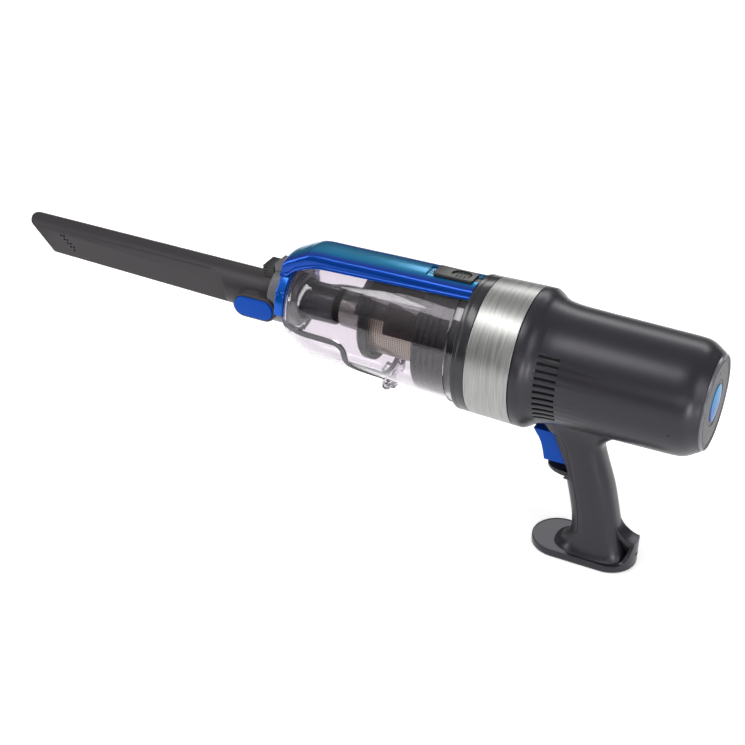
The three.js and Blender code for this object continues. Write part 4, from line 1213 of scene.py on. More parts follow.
@dataclass
class DustBin:
    """The clear bin, its door and seal, the blue spine with its latch, and the bracket, in millimetres."""

    bench: Bench
    front: float = -161
    rear: float = -11
    wall: float = 2.3
    lip: float = 7
    stub: float = 20.3
    seam: float = 2.4
    hinge: Point = (-79, -50.5)
    steps: int = 216
    profile: Outline = field(default_factory=lambda: [
        (-161, 31), (-157.9, 35.2), (-151.9, 37.8), (-143.3, 41.6), (-135, 43.1), (-18, 47.5)])

    def build(self) -> None:
        """Makes every piece of the bin."""
        self._shell_and_door()
        self._spine()
        self._latch()
        self._bracket()
        self._collar()

    def _outline(self, inset: float = 0) -> Outline:
        """The bin's outline.

        Args:
            inset: how far it is moved in.

        Returns:
            x and radius of each corner.
        """
        nose = flowing(self.profile[:5], 5)
        line = [*nose, (-76, between(self.profile, -76)), self.profile[-1]]
        return offset_line(line, inset) if inset else line

    def _body(self, inset: float = 0) -> Solid:
        """The bin's outside as a full solid.

        Args:
            inset: how far it is moved in.

        Returns:
            The solid.
        """
        outline = self._outline(inset)
        last = outline[-1][1]
        return turned([(outline[0][0], 0), *outline, (self.rear, last), (self.rear, 0)], self.steps)

    def _skin(self) -> Solid:
        """The bin's wall with its rear lip and the hole for the inlet.

        Returns:
            The wall as a solid.
        """
        outside, inside = self._outline(), self._outline(self.wall)
        lip_r = self.bench.dimension("bin_shell")[2][1]
        last = outside[-1][1]
        x = self.rear - self.lip
        profile = [
            (self.front + 0.2, self.stub), (self.front, self.stub + 0.5), *outside[:-1],
            (x - 1.4, last), (x - 0.5, last + 0.3), (x, last + 1.2), (x, lip_r - 0.8), (x + 0.5, lip_r),
            (self.rear - 0.4, lip_r),
            (self.rear, lip_r - 0.5), (self.rear, inside[-1][1]), *reversed(inside),
            (self.front + self.wall, self.stub),
        ]
        return turned(profile, self.steps)

    @staticmethod
    def _door_region(grow: float) -> Outline:
        """The side view of the door: flat under the axis, with a step and a swept tail to the hinge.

        Args:
            grow: how far the view is moved out.

        Returns:
            The outline, in x and z.
        """
        top, step, corner, sweep, slope = -6, -102.5, 8, 12, math.radians(72)
        path: Outline = [(-181, -106), (-181, top + grow)]
        for i in range(9):
            a = math.pi / 2 * (1 - i / 8)
            path.append((step - corner + (corner + grow) * math.cos(a),
                         top - corner + (corner + grow) * math.sin(a)))
        for i in range(9):
            a = math.pi + slope * i / 8
            path.append((step + sweep + (sweep - grow) * math.cos(a),
                         top - 16 + (sweep - grow) * math.sin(a)))
        last = Vector(path[-1])
        end = -79 + grow
        path.append((end, last.y - (end - last.x) / math.tan(slope)))
        path.append((end, -106))
        return path

    def _door_zone(self, grow: float) -> Solid:
        """The space that the door takes, apart from the inlet.

        Args:
            grow: how far it is moved out.

        Returns:
            The space as a solid.
        """
        zone = pulled(self._door_region(grow), Axis.Y, -106, 106)
        disc = rod(Axis.X, (0, 0), 27 - grow, self.front - 25, self.front + 12, steps=96)
        return combined(zone, Join.CUT, disc)

    def _knuckle(self, y0: float, y1: float, side: int) -> Solid:
        """A hinge knuckle with its web.

        Args:
            y0: its near end.
            y1: its far end.
            side: 1 when the web runs to the rear, -1 when it runs to the front.

        Returns:
            The knuckle.
        """
        x, z = self.hinge
        web = sorted((x + side * 2.2, x + side * 7.5))
        eye = rod(Axis.Y, self.hinge, 4, y0, y1, 0.4)
        arm = block((web[0], web[1]), (y0, y1), (z - 1, z + 8), 0.4)
        piece = combined(eye, Join.ADD, arm)
        return combined(piece, Join.CUT, self._body(0.1), rod(Axis.Y, self.hinge, 1.5, y0 - 1, y1 + 1))

    def _shell_and_door(self) -> None:
        """The clear shell, the door below it and the seal in the seam between them."""
        x = self.rear - self.lip
        notch = pulled(sector_outline(47.7, 60, 23.3), Axis.X, x - 1, 0.1)
        shell = combined(self._skin(), Join.CUT, self._door_zone(self.seam), notch)
        self.bench.piece("clear_shell", shell, "bin", [Look.clear], ["bin_shell"], 40)
        door = combined(self._skin(), Join.KEEP, self._door_zone(-self.seam))
        self.bench.piece("clear_door", door, "door", [Look.clear], ["dust_door"], 40)
        for name, body, y0, y1, side in (("hinge_eye_near", "bin", -15, -7.5, 1),
                                         ("hinge_eye_far", "bin", 7.5, 15, 1),
                                         ("hinge_eye_door", "door", -7.2, 7.2, -1)):
            self.bench.piece(name, self._knuckle(y0, y1, side), body, [Look.clear])
        band = combined(self._body(-0.6), Join.CUT, self._body(self.wall),
                        rod(Axis.X, (0, 0), self.stub, self.front - 5, self.front + 4, steps=96))
        seal = combined(band, Join.KEEP, self._door_zone(self.seam - 0.3))
        seal = combined(seal, Join.CUT, self._door_zone(0.3 - self.seam))
        self.bench.piece("door_seal_strip", seal, "door", [Look.seal], ["door_seal"], 40)

    def _spine(self) -> None:
        """The blue cover on top: a crown above a narrow flange, over the front of the bin."""
        crown = flowing([(-170, 37.2), (-166, 40), (-161, 42.5), (-152, 46.7), (-143, 49.3), (-118, 49.8),
                         (-84, 50.6), (-27, 51.5), (-11.3, 52.0)], 6)
        bed = flowing([(-170, 31.4), (-165, 32), (-161, 34.8), (-157.9, 37), (-151.9, 39.3), (-143.3, 42.2),
                       (-135, 43.6), (-100, 44.8), (-11, 48.1)], 6)
        rise = [(0, 1), (13.6, 1), (14.9, 0.93), (15.9, 0.72), (16.4, 0.4), (16.6, 0)]
        flange = [(0, 1.4), (18.1, 1.4), (18.7, 1.05), (19, 0.2)]
        marks = [y for y, _ in (*rise, *flange)] + [14.4, 15.4, 17.3, *range(2, 13, 2)]
        sides = sorted({s * y for y in marks for s in (-1, 1)})
        rows = []
        for index, (x, r) in enumerate(crown):
            low = between(bed, x)
            cut = 1.1 if index == 0 else 0.35 if index == 1 else 0
            top, bottom = [], []
            for y in sides:
                base = math.sqrt(low**2 - y * y)
                dome = (math.sqrt((r - cut) ** 2 - y * y) - base) * between(rise, abs(y))
                top.append(Vector((x, y, base + max(dome, between(flange, abs(y))))))
                bottom.append(Vector((x, y, base)))
            rows.append([*top, *reversed(bottom)])
        bm = lofted(rows)
        (x0, _), (y0, y1), (z0, _) = self.bench.dimension("bin_latch")
        floor = z0 - 0.3
        pocket = soften(rectangle(x0 - 6, self.rear - 3.7, y0 - 0.3, y1 + 0.3), 2.5, 5)
        bm = combined(bm, Join.CUT, pulled(pocket, Axis.Z, floor, 60),
                      block((self.rear - 6, 0), (-3.8, 3.8), (floor, 60)))
        self.bench.piece("blue_spine", bm, "bin", [Look.spine], ["spine_cover"], 34)

    def _latch(self) -> None:
        """The latch: a thumb slide with a dished pad and three ridges."""
        (x0, x1), (y0, y1), (z0, z1) = self.bench.dimension("bin_latch")
        end = self.rear - 4
        slab = pulled(soften(rectangle(x0, end, y0, y1), 2.4, 5), Axis.Z, z0, z1, 0.7)
        dish = pulled(stadium(end - 19, end - 3, y0 + 2, y1 - 2, 12), Axis.Z, z1 - 1.3, z1 + 2, 0.4)
        _, (_, wide), (_, tall) = self.bench.dimension("latch_spring")
        room = block((x0 - 1, x0 + 6), (-wide - 0.3, wide + 0.3), (z0 - 1, tall + 0.25))
        slab = combined(slab, Join.CUT, dish, room)
        ridges = [
            block((end - 15.5 + 3 * i, end - 14.3 + 3 * i), (y0 + 3.4, y1 - 3.4), (z1 - 1.6, z1 - 0.7), 0.3)
            for i in range(4)]
        tongue = block((end - 4, x1), (-3.5, 3.5), (z0, z0 + 1.6), 0.3)
        self.bench.piece("thumb_latch", combined(slab, Join.ADD, tongue, *ridges), "latch",
                         [Look.black], ["bin_latch"])

    def _bracket(self) -> None:
        """The blue bracket round the inlet, and the short lever that carries it on."""
        (x0, x1), _, _ = self.bench.dimension("front_bracket")
        inner, outer, pivot, end = 24.8, 31.0, 62, 96
        mid = (inner + outer) / 2
        turn = math.radians(pivot)
        centre = (-mid * math.sin(turn), mid * math.cos(turn))
        half = (x0 + x1) / 2
        ring = soften([(x0, inner), (x0, outer), (x1, outer), (x1, inner)], 1.1, 4)

        def eye(r: float, low: float, high: float) -> Solid:
            """A round boss on the pivot."""
            return rod(Axis.X, centre, r, low, high)

        arc = combined(turned(ring, self.steps, -end, pivot), Join.CUT, eye(3.7, half - 0.15, x1 + 1))
        arc = combined(arc, Join.ADD, eye(3.1, x0, half - 0.15), eye(1.4, x0 + 0.2, x1 - 0.2))
        self.bench.piece("blue_bracket", arc, "bin", [Look.joint_blue], ["front_bracket"])
        arm = combined(turned(ring, self.steps, pivot, end), Join.CUT, eye(3.7, x0 - 1, half + 0.15))
        arm = combined(arm, Join.ADD, eye(3.1, half + 0.15, x1))
        arm = combined(arm, Join.CUT, eye(1.5, x0 - 1, x1 + 1))
        self.bench.piece("door_lever", arm, "lever", [Look.joint_blue], ["door_release_lever"])

    def _collar(self) -> None:
        """The grey inlet collar with its contact block on top."""
        (x0, x1), _, (_, r) = self.bench.dimension("inlet_collar")
        shoulder = self.front - 0.3
        profile = [(x0, 17.2), (x0, r - 1.6), (x0 + 0.4, r - 0.7), (x0 + 1.2, r - 0.1), (x0 + 2.4, r),
                   (shoulder - 6, r), (shoulder - 5.6, r - 0.5), (shoulder - 4.9, r - 0.5),
                   (shoulder - 4.5, r), (shoulder, r), (shoulder, 20), (x1, 20), (x1, 17.2)]
        (bx0, bx1), (by0, by1), (bz0, bz1) = self.bench.dimension("inlet_contact_block")
        bracket = self.bench.dimension("front_bracket")[0][0]
        seat = block((x0 - 1, bracket), (by0 - GAP, by1 + GAP), (bz0 - GAP, 40))
        collar = combined(turned(profile, self.steps), Join.CUT, seat)
        self.bench.piece("inlet_ring", collar, "bin", [Look.grey], ["inlet_collar"])
        body = block((bx0, bx1), (by0, by1), (bz0, bz1), 0.9, 4)
        socket = block((bx0 - 1, bx0 + 4), (by0 + 2.5, by1 - 2.5), (bz0 + 2, bz1 - 2.4), 0.5)
        hole = rod(Axis.Z, ((bx0 + bx1) / 2 + 1.5, -2), 1.4, bz1 - 2, bz1 + 1, steps=24)
        self.bench.piece("contact_block", combined(body, Join.CUT, socket, hole), "bin", [Look.grey],
                         ["inlet_contact_block"])


@dataclass
class Cyclone:
    """What shows through the bin: tube, cone, punched screen, stepped cover and ribbed ring."""

    bench: Bench
    steps: int = 144

    def build(self) -> None:
        """Makes every piece of the cyclone."""
        self._tube_and_cone()
        self._front_ring()
        self._screen()
        self._cover()
        self._ribs()

    def _tube_and_cone(self) -> None:
        """The inlet's tube and the cone behind it."""
        (x0, x1), _, (_, r) = self.bench.dimension("inlet_tube")
        profile = soften([(x0, r - 2.1), (x0, r), (x1, r - 0.6), (x1, r - 2.1)], 0.5, 3)
        self.bench.lathe("duct_tube", profile, self.steps, "bin", Look.duct, "inlet_tube")
        (x0, x1), _, (_, r) = self.bench.dimension("cyclone_cone")
        outside = flowing([(x0, r - 2.2), (x0 + 6, r - 2), (x0 + 15, r - 1.1), (x1 - 2, r), (x1, r)], 5)
        profile = [*outside, (x1, r - 2.5), (x0, r - 3.6)]
        self.bench.lathe("satin_nose", profile, self.steps, "bin", Look.chrome_grey, "cyclone_cone")

    def _front_ring(self) -> None:
        """The flared ring in front of the screen."""
        (x0, x1), _, (_, r) = self.bench.dimension("shroud_front_ring")
        profile = soften([(x0, 14), (x0, r - 2.5), (x0 + 2.5, r), (x1, r), (x1, r - 1.6), (x0 + 5, r - 3.2),
                          (x0 + 3, 28), (x0 + 3, 14)], 0.8, 4)
        self.bench.lathe("flared_ring", profile, self.steps, "bin", Look.black, "shroud_front_ring")

    def _screen(self) -> None:
        """The punched metal screen."""
        (x0, x1), _, (_, r) = self.bench.dimension("mesh_screen")
        profile = [(x0, r - 0.9), (x0, r), (x1, r), (x1, r - 0.9)]
        self.bench.lathe("punched_screen", profile, self.steps, "bin", Look.mesh, "mesh_screen")

    def _cover(self) -> None:
        """The smoky cover in two widths over the top of the screen."""
        (x0, x1), _, (_, r) = self.bench.dimension("shroud_cover")
        step = x0 + 25
        near = soften(
            [(x0, 33.8), (x0, r), (step, r), (step, r - 1.8), (x0 + 1.8, r - 1.8), (x0 + 1.8, 33.8)], 0.5, 3)
        wide = soften([(step, r - 1.8), (step, r), (x1, r), (x1, r - 1.8)], 0.5, 3)
        for name, profile, half in (("smoky_hood_front", near, 62), ("smoky_hood_rear", wide, 76)):
            hood = turned(profile, self.steps, -half, half)
            self.bench.piece(name, hood, "bin", [Look.smoky], ["shroud_cover"])

    def _ribs(self) -> None:
        """The black ring with raised ribs in front of the collar."""
        (x0, x1), _, (_, r) = self.bench.dimension("shroud_rear_ring")
        profile: Outline = [(x0, 25), (x0, r - 0.6), (x0 + 0.6, r)]
        for i in range(4):
            x = x0 + 3 + i * 5
            profile += [(x, r), (x + 0.3, r - 1.4), (x + 1.7, r - 1.4), (x + 2, r)]
        profile += [(x1, r), (x1, r - 2.2), (x0 + 2.2, r - 3.6), (x0 + 2.2, 25)]
        self.bench.lathe("ribbed_ring", profile, self.steps, "bin", Look.inner, "shroud_rear_ring")


# ---- Crevice tool -----------------------------------------------------------------------------


@dataclass
class CreviceTool:
    """The crevice tool with its slanted mouth, its latch pod and the contact plug, in millimetres."""

    bench: Bench
    tip: float = -420.5
    inlet: float = -180.5
    root: float = -163
    tip_radius: float = 14.6
    spigot_radius: float = 16.8
    drop: float = 3
    wall: float = 2
    half_thick: float = 10
    chamfer_depth: float = 0.45
    pod_length: float = 38.5
    pod_half_height: float = 10.25
    pod_reach: float = 26.5
    rim: float = 1.6
    steps: int = 72

    def build(self) -> None:
        """Makes every piece of the tool."""
        self._body()
        self._button()
        self._plug()

    @property
    def neck(self) -> float:
        """Where the slim duct meets the neck."""
        return self.inlet - 8

    @property
    def pod_rear(self) -> float:
        """The rear end of the pod, just ahead of the bracket."""
        return self.bench.dimension("front_bracket")[0][0] - 1.5

    def _tube(self, inset: float, start: float) -> Solid:
        """A round tube that widens and drops slightly towards the neck.

        Args:
            inset: how far it is moved in.
            start: where it begins.

        Returns:
            The tube as a full solid.
        """
        rows = []
        for x, r, fall in ((start, self.tip_radius, 0), (self.neck, self.spigot_radius, self.drop)):
            rows.append([
                Vector((x, (r - inset) * math.sin(math.tau * i / self.steps),
                        (r - inset) * math.cos(math.tau * i / self.steps) - fall))
                for i in range(self.steps)])
        return lofted(rows)

    def _flats(self, inset: float, chamfer: float) -> list[Solid]:
        """What makes the two flat sides, with a round upper corner behind.

        Args:
            inset: how far the sides are moved in.
            chamfer: width of the rounded rims.

        Returns:
            The near and the far solid.
        """
        rear = self.inlet - 42
        path: Outline = [(self.tip - 10, -30), (rear, -30)]
        for i in range(13):
            a = math.pi / 2 * i / 12
            path.append((rear - 16 + 16 * math.cos(a), -2 + 13 * math.sin(a)))
        path.append((self.tip - 10, 11))
        flat = self.half_thick - inset
        near = pulled(path, Axis.Y, flat, 44, chamfer)
        far = pulled(path, Axis.Y, -44, -flat, chamfer)
        return [near, far]

    def _chamfers(self) -> list[Solid]:
        """What breaks the long edges where the flat sides meet the round back.

        Returns:
            The near and the far wedge.
        """
        corner = math.sqrt(self.tip_radius**2 - self.half_thick**2)
        lean = math.acos(self.half_thick / self.tip_radius) / 2
        y = self.half_thick - self.chamfer_depth * math.cos(lean)
        z = corner - self.chamfer_depth * math.sin(lean)
        run = (12 * math.sin(lean), 12 * math.cos(lean))
        wedges = []
        for side in (-1, 1):
            path = [(side * (y + run[0]), z - run[1]), (side * (y - run[0]), z + run[1]),
                    (side * 30, z + run[1]), (side * 30, z - run[1])]
            wedges.append(pulled(path, Axis.X, self.tip - 10, self.inlet - 58))
        return wedges

    def _pod(self, inset: float) -> Outline:
        """The side view of the pod."""
        low, high = -5 - self.pod_half_height, -5 + self.pod_half_height
        start = self.pod_rear - self.pod_length
        return stadium(start + inset, self.pod_rear - inset, low + inset, high - inset, 24)

    def _body(self) -> None:
        """The tool's one moulded body, from the mouth to the spigot."""
        spigot = rod(Axis.X, (0, 0), self.spigot_radius, self.neck - 3, self.root, 0.6, self.steps)
        bore = combined(self._tube(self.wall, self.tip - 1), Join.ADD,
                        rod(Axis.X, (0, 0), self.spigot_radius - self.wall, self.neck - 3, self.root + 1,
                            steps=self.steps))
        bore = combined(bore, Join.CUT, *self._flats(self.wall, 0))
        pod = combined(pulled(self._pod(0), Axis.Y, -self.pod_reach, 0, 1.5), Join.CUT,
                       rod(Axis.X, (0, 0), 24.6, self.inlet - 0.3, self.pod_rear + 5, steps=96))
        mouth = pulled([(self.tip - 20, 40), (self.tip - 4, 20), (self.tip + 27, -12), (self.tip + 30.5, -15),
                        (self.tip + 34, -16.5), (self.tip + 34, -40), (self.tip - 20, -40)], Axis.Y, -40, 40)
        holes = []
        for i in range(9):
            row = i // 2
            centre = (self.tip + 35 + row * 3.1 + (i % 2) * 2.9, 5.5 - row * 2.8)
            holes.append(rod(Axis.Y, centre, 0.95, -20, 20, steps=16))
        x, y = self.bench.dimension("tool_button_pin")[:2]
        pin = rod(Axis.Z, (sum(x) / 2, sum(y) / 2), 1.3, -15, 20, steps=20)
        pocket = pulled(self._pod(self.rim), Axis.Y, -self.pod_reach - 1, -self.pod_reach + 6)
        tube = combined(self._tube(0, self.tip), Join.CUT, *self._flats(0, 0), *self._chamfers())
        body = combined(tube, Join.ADD, spigot, pod)
        body = combined(body, Join.CUT, bore, pocket, pin, mouth, *holes)
        item = self.bench.piece("slanted_tool", body, "tool", [Look.tool], ["crevice_tool_body"], 24)
        self.bench.ease(item, 0.7, 28)

    def _button(self) -> None:
        """The domed blue release button with its lug."""
        (y0, _) = self.bench.dimension("tool_release_button")[1]
        x, y = self.bench.dimension("tool_button_pin")[:2]
        pin_x, pin_y = sum(x) / 2, sum(y) / 2
        cap = pulled(self._pod(self.rim + 0.5), Axis.Y, y0, -self.pod_reach + 1.5, 0.9)
        lug = block((pin_x - 2.6, pin_x + 2.6), (-self.pod_reach + 1, pin_y + 2.4), (-11, 1))
        cap = combined(cap, Join.ADD, lug)
        cap = combined(cap, Join.CUT, rod(Axis.Z, (pin_x, pin_y), 1.3, -20, 10, steps=20))
        self.bench.piece("oval_button", cap, "tool_button", [Look.button_blue], ["tool_release_button"], 50)

    def _plug(self) -> None:
        """The ridged plug that reaches the contact block."""
        (x0, x1), (y0, y1), (_, z1) = self.bench.dimension("tool_contact_plug")
        plug = block((x0, x1), (y0, y1), (8, z1), 1.0, 4)
        grooves = [block((x0 - 1, x0 + 5), (y0 - 1, y0 + 0.8), (z, z + 1.1), 0.2) for z in (17.5, 20, 22.5)]
        front = [block((x0 - 1, x0 + 0.8), (y0 - 1, y1 + 1), (z, z + 1.1), 0.2) for z in (17.5, 20, 22.5)]
        spigot = rod(
            Axis.X, (0, 0), self.spigot_radius + GAP, self.neck - 4, self.inlet + 1, steps=self.steps)
        plug = combined(plug, Join.CUT, self._tube(-GAP, self.tip), spigot, *grooves, *front)
        self.bench.piece("ridged_plug", plug, "tool", [Look.black], ["tool_contact_plug"])


# ---- Grip -------------------------------------------------------------------------------------


@dataclass
class Grip:
    """The pistol grip with its front panel, trigger, lip, foot and heel, in millimetres."""

    bench: Bench
    half: float = 15
    foot_x: Point = (46.5, 131)
    foot_half: float = 22.3
    floor: float = -160
    foot_top: float = -154
    heel: float = 16
    slot_top: float = -54
    slot_low: float = -85.5
    seam_gap: float = 0.35
    squareness: float = 2.6
    around: int = 72

    def build(self) -> None:
        """Makes every piece of the grip."""
        self._handle()
        self._foot()
        self._trigger()

    def _stations(self) -> list[tuple[float, float, float, float]]:
        """The grip's smooth sections from the barrel down: z, front, back and half width.

        Returns:
            z, front, back and half width of each section.
        """
        drawn = [
            (-38, 42, 120, 18.5), (-42.5, 43.5, 114, 17), (-47, 45, 108, 15.8), (-53, 50, 100, 15.0),
            (-60, 57, 96, 14.6), (-68, 62.5, 97.4, 14.5), (-80, 67.2, 101.5, 14.6), (-95, 70.5, 106.8, 14.9),
            (-111, 74.5, 110.9, 15), (-125, 77.2, 114.2, 15), (-135, 77.9, 117.3, 15.3),
            (-143, 76.6, 120.2, 16), (-149, 73.5, 123, 17.2), (-152.6, 69.5, 125.5, 18.6), (-154.8, 64, 127.6, 20)]
        rows = []
        values = [flowing([(row[0], row[k]) for row in drawn], 4) for k in (1, 2, 3)]
        for fronts, backs, halves in zip(*values):
            rows.append((fronts[0], fronts[1], backs[1], halves[1]))
        return rows

    def _stack(self, inset: float = 0) -> Solid:
        """The grip as one solid of rounded sections.

        Args:
            inset: how far it is moved in.

        Returns:
            The solid.
        """
        rows = []
        for z, front, back, half in self._stations():
            centre, reach = (front + back) / 2, (back - front) / 2 - inset
            row = []
            for i in range(self.around):
                a = math.tau * i / self.around
                c, s = math.cos(a), math.sin(a)
                k = (abs(c) ** self.squareness + abs(s) ** self.squareness) ** (-1 / self.squareness)
                row.append(Vector((centre + reach * k * c, (half - inset) * k * s, z)))
            rows.append(row)
        return lofted(rows)

    def _panel(self, grow: float) -> Solid:
        """The space ahead of the seam that runs down the grip's side.

        Args:
            grow: how far the seam is moved back.

        Returns:
            The space as a solid.
        """
        low = self.foot_top + 14 - grow
        seam = flowing([(66, -56), (69.8, -61.6), (73.2, -73.3), (76.7, -86), (81.5, -103), (84.9, -121),
                        (85.9, -133), (84.6, -137.8), (81, low + 0.6)], 6)
        path = [(20, self.slot_top + grow), (60, self.slot_top + grow)]
        path += [(x + grow, z) for x, z in seam] + [(76, low), (20, low)]
        return pulled(path, Axis.Y, -40, 40)

    def _room(self) -> Solid:
        """The barrel with a gap all round."""
        return turned([(-20, 0), (-20, 53.6), (41, 53.6), (43.6, 52), (50.8, 47.4), (58, 46.2), (66, 45.5),
                       (153, 44), (173, 40), (173, 0)], 144)

    def _handle(self) -> None:
        """The rear shell and the front panel, split along the seam."""
        low = self.slot_low
        nose = pulled(soften([(60, self.slot_top), (71.5, -78.5), (74, low), (70, -91), (90, -91),
                              (88, self.slot_top)], 1, 3), Axis.Y, -13.5, 13.5, 1.5)
        opening = pulled([(20, self.slot_top), (59.8, self.slot_top), (71.3, -78.5), (73.8, low), (20, low)],
                         Axis.Y, -40, 40)
        lip = pulled(soften([(53.6, low + 1.2), (54.4, low - 1.2), (68, -90), (78, -90.5), (78, -87),
                             (66, low - 0.6)], 0.7, 4, True), Axis.Y, -30, 30)
        lip = combined(lip, Join.KEEP, pulled(stadium(53.6, 90, -11, 11, 24), Axis.Z, -92, -82))
        whole = combined(self._stack(), Join.ADD, nose)
        whole = combined(whole, Join.CUT, opening)
        whole = combined(whole, Join.ADD, lip)
        slot = block((50, 84), (-10.2, 10.2), (low, self.slot_top - 0.2))
        whole = combined(whole, Join.CUT, slot, self._room())
        copy = whole.copy()
        rear = combined(whole, Join.CUT, self._panel(self.seam_gap))
        self.bench.piece("grip_rear", rear, "main", [Look.gunmetal], ["grip_shell"], 38)
        front = combined(copy, Join.KEEP, self._panel(0))
        self.bench.piece("grip_front", front, "main", [Look.gunmetal], ["grip_front_panel"], 38)

    def _outline(self, inset: float) -> Outline:
        """The foot's outline from above."""
        x0, x1 = self.foot_x
        return stadium(x0 + inset, x1 - inset, -self.foot_half + inset, self.foot_half - inset, 32)

    def _foot(self) -> None:
        """The dished foot with a crisp rim, and the ramped heel with a pocket on each side."""
        low = self.floor + 0.6
        sole = pulled(self._outline(0), Axis.Z, self.floor + 0.1, self.foot_top, 0.7)
        dish = pulled(self._outline(1.3), Axis.Z, self.foot_top - 0.3, self.foot_top + 4)
        recess = pulled(self._outline(2), Axis.Z, self.floor - 1, self.floor + 2.3)
        sole = combined(sole, Join.CUT, dish, recess)
        x1 = self.foot_x[1]
        top = self.foot_top + self.heel
        ramp = flowing([(x1 - 22, top + 20), (x1 - 15.5, top + 9), (x1 - 10.5, top + 4.2),
                        (x1 - 5, top + 1.3), (x1 + 2, top)], 6)
        under = [(x, z - 5.4) for x, z in reversed(ramp)]
        plan = pulled(self._outline(0), Axis.Z, low, top + 30)
        strap = combined(pulled([*ramp, *under], Axis.Y, -7, 7, 0.9), Join.KEEP, plan)
        web = pulled([*under[4:], (x1 - 30, low), (x1 - 2, low)], Axis.Y, -3.2, 3.2)
        brow = flowing([(5.5, top), (7.2, top - 0.9), (9, top - 5), (11.5, top - 10),
                        (15, self.foot_top + 1.6), (20, self.foot_top - 0.4)], 5)
        brow = [*brow, (20, low), (-20, low), *[(-y, z) for y, z in reversed(brow)]]
        around = pulled(self._outline(0), Axis.Z, low, top + 1)
        wall = combined(pulled(brow, Axis.X, x1 - 16, x1 + 1), Join.KEEP, around)
        wall = combined(wall, Join.CUT, pulled(self._outline(2.4), Axis.Z, self.foot_top - 0.3, top + 2))
        notch = block((x1 - 1.2, x1 + 2), (-3.2, 3.2), (-151, -148.4), 0.3)
        wedge = combined(combined(strap, Join.ADD, web, wall), Join.CUT, notch)
        foot = combined(sole, Join.ADD, wedge)
        item = self.bench.piece("foot_and_heel", foot, "main", [Look.gunmetal], ["grip_shell"], 34)
        self.bench.ease(item, 0.45, 34)
        plate = pulled(self._outline(2.3), Axis.Z, self.floor, self.floor + 2, 0.4)
        plate = combined(plate, Join.CUT, block((60, 74), (-5, 5), (self.floor - 1, self.floor + 9)))
        self.bench.piece("sole_plate", plate, "main", [Look.collar], ["foot_plate"])

    def _trigger(self) -> None:
        """The blue trigger with rounded flanks."""
        (y0, y1) = self.bench.dimension("trigger")[1]
        x, _, z = self.bench.dimension("trigger_pin")
        front = flowing(
            [(42.4, self.slot_top - 1.5), (44.6, -59), (47.6, -63.4), (50.2, -70), (52.7, -80.7)], 5)
        path = [*front, (74.5, -80.7), (72.5, -68), (69.5, self.slot_top - 1.5)]
        bm = pulled(path, Axis.Y, y0, y1, 2.4)
        (start, _), (_, wide), (low, high) = self.bench.dimension("trigger_spring")
        seat = block((start - 3.8, start + 5), (-wide - 0.6, wide + 0.6), (low - 3, high + 1.6))
        bm = combined(bm, Join.CUT, rod(Axis.Y, (sum(x) / 2, sum(z) / 2), 1.6, -20, 20, steps=20), seat)
        self.bench.piece("blue_trigger", bm, "trigger", [Look.button_blue], ["trigger"], 40)


class Inside:
    """The CAD nodes that keep their own shape inside the shell."""

    def __init__(self, bench: Bench) -> None:
        """Keeps the bench."""
        self.bench = bench

    def build(self) -> None:
        """Dresses every carried-over node."""
        cells = [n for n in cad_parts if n.startswith("battery_cell_")]
        dress = self.bench.dress
        dress(Look.sleeve, *cells)
        dress(Look.board, "control_board", "battery_board")
        dress(Look.copper, "contact_ribbon", "dock_contact", "motor_stator")
        dress(Look.steel, "motor_can", "motor_rotor", "motor_shaft", "trigger_pin", "trigger_spring",
              "latch_spring", "door_hinge_pin", "tool_button_pin")
        dress(Look.black, "cell_holder_front", "cell_holder_rear", "mode_switch", "trigger_switch",
              "fan_housing", "impeller")
        dress(Look.seal, "bin_gasket", "motor_mount")
        dress(Look.grey, "filter_frame")
        dress(Look.paper, "filter_element")


# ---- Studio -----------------------------------------------------------------------------------


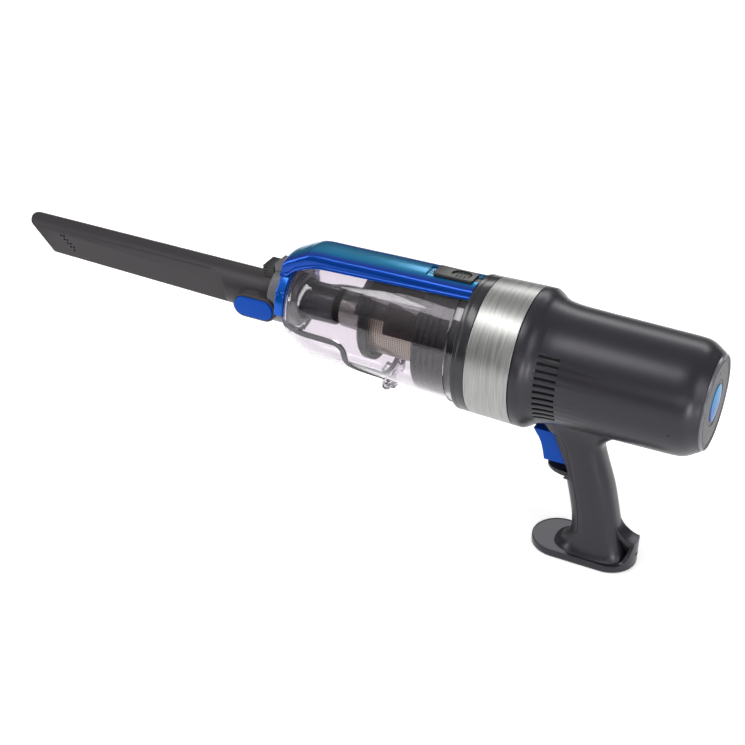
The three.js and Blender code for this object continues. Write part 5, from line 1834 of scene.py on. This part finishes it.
@dataclass
class Studio:
    """The pale floor, the soft lights and the camera, in metres."""

    eye: tuple[float, float, float] = (0.25449, -0.91208, 0.72993)
    target: tuple[float, float, float] = (-0.1867, 0.0, 0.1077)
    roll: float = -1.06
    lens: float = 72.48
    floor_size: float = 8.0
    floor_drop: float = 0.0006

    def build(self) -> None:
        """Makes the floor, the lights and the camera."""
        self._floor()
        self._world()
        self._light("key_soft", (-0.5, -0.5, 1.5), (-0.15, 0, 0.1), 0.9, 0.5, 9)
        self._light("front_soft", (0.3, -1.7, 0.75), (-0.15, 0, 0.12), 1.2, 0.3, 4)
        self._light("left_window", (-1.5, -0.7, 0.7), (-0.25, 0, 0.12), 0.3, 1.1, 8)
        self._light("right_soft", (1.3, -0.4, 0.7), (0, 0, 0.1), 0.6, 0.9, 6)
        self._light("right_low", (0.9, -0.95, 0.2), (0.07, -0.04, 0.15), 0.22, 0.3, 4)
        self._light("back_soft", (-0.1, 1.3, 1.1), (-0.1, 0, 0.1), 1.4, 0.4, 8)
        self._camera()
        scene = bpy.context.scene
        scene.view_settings.view_transform = "Standard"
        scene.view_settings.look = "None"
        LOG.info("studio: floor, six lights and camera")

    def _floor(self) -> None:
        """A wide pale floor with a very faint unevenness."""
        bm = bmesh.new()
        bmesh.ops.create_grid(bm, x_segments=8, y_segments=8, size=self.floor_size)
        bmesh.ops.translate(bm, verts=bm.verts, vec=(0, 0, -self.floor_drop))
        mesh = bpy.data.meshes.new("floor")
        bm.to_mesh(mesh)
        bm.free()
        item = bpy.data.objects.new("floor", mesh)
        bpy.context.scene.collection.objects.link(item)
        made = bpy.data.materials.new("pale_floor")
        made.use_nodes = True
        tree = Tree(made.node_tree)
        shader = made.node_tree.nodes["Principled BSDF"]
        spread = tree.noise(tree.place(Vector()), 3, 2)
        tree.feed(shader.inputs["Base Color"], tree.mix(spread, shade("fafafa"), shade("fcfcfc")))
        shader.inputs["Roughness"].default_value = 0.85
        shader.inputs["Specular IOR Level"].default_value = 0.1
        shader.inputs["Emission Color"].default_value = (1, 1, 1, 1)
        shader.inputs["Emission Strength"].default_value = 0.32
        mesh.materials.append(made)

    def _world(self) -> None:
        """A white sky that lights the vacuum from overhead and looks the same pale tone all round."""
        world = bpy.data.worlds.new("soft_sky")
        world.use_nodes = True
        tree = Tree(world.node_tree)
        sky = world.node_tree.nodes["Background"]
        split = tree.add("ShaderNodeSeparateXYZ")
        tree.feed(split.inputs[0], tree.add("ShaderNodeTexCoord").outputs["Generated"])
        height = tree.ramp(split.outputs[2], 0.05, 0.75)
        lighting = tree.mix(height, (0.12, 0.12, 0.13, 1), (1, 1, 1, 1))
        seen = tree.add("ShaderNodeLightPath").outputs["Is Camera Ray"]
        tree.feed(sky.inputs["Color"], tree.mix(seen, lighting, (1.7, 1.7, 1.7, 1)))
        sky.inputs["Strength"].default_value = 0.55
        bpy.context.scene.world = world

    def _light(self, name: str, at: Sequence[float], aim: Sequence[float], wide: float, high: float,
               power: float) -> None:
        """Adds a soft rectangular light.

        Args:
            name: its name.
            at: where it hangs.
            aim: the point that it faces.
            wide: its width.
            high: its height.
            power: its power in watts.
        """
        data = bpy.data.lights.new(name, "AREA")
        data.shape = "RECTANGLE"
        data.size, data.size_y, data.energy = wide, high, power
        lamp = bpy.data.objects.new(name, data)
        bpy.context.scene.collection.objects.link(lamp)
        lamp.location = at
        lamp.rotation_euler = (Vector(aim) - Vector(at)).to_track_quat("-Z", "Y").to_euler()

    def _camera(self) -> None:
        """A camera at the front right, looking down at the vacuum."""
        data = bpy.data.cameras.new("camera")
        data.lens, data.sensor_width = self.lens, 36
        data.clip_start, data.clip_end = 0.05, 30
        item = bpy.data.objects.new("camera", data)
        bpy.context.scene.collection.objects.link(item)
        item.location = self.eye
        aim = (Vector(self.target) - Vector(self.eye)).to_track_quat("-Z", "Y")
        turn = Matrix.Rotation(math.radians(-self.roll), 4, "Z")
        item.rotation_euler = (aim.to_matrix().to_4x4() @ turn).to_euler()
        bpy.context.scene.camera = item


def main() -> None:
    """Builds the vacuum from its sub-assemblies, then the studio."""
    logging.basicConfig(level=logging.INFO, format="%(name)s %(message)s")
    bench = Bench()
    for assembly in (Barrel, DustBin, Cyclone, CreviceTool, Grip, Inside):
        assembly(bench).build()
    Studio().build()


if __name__ == "__main__":
    main()
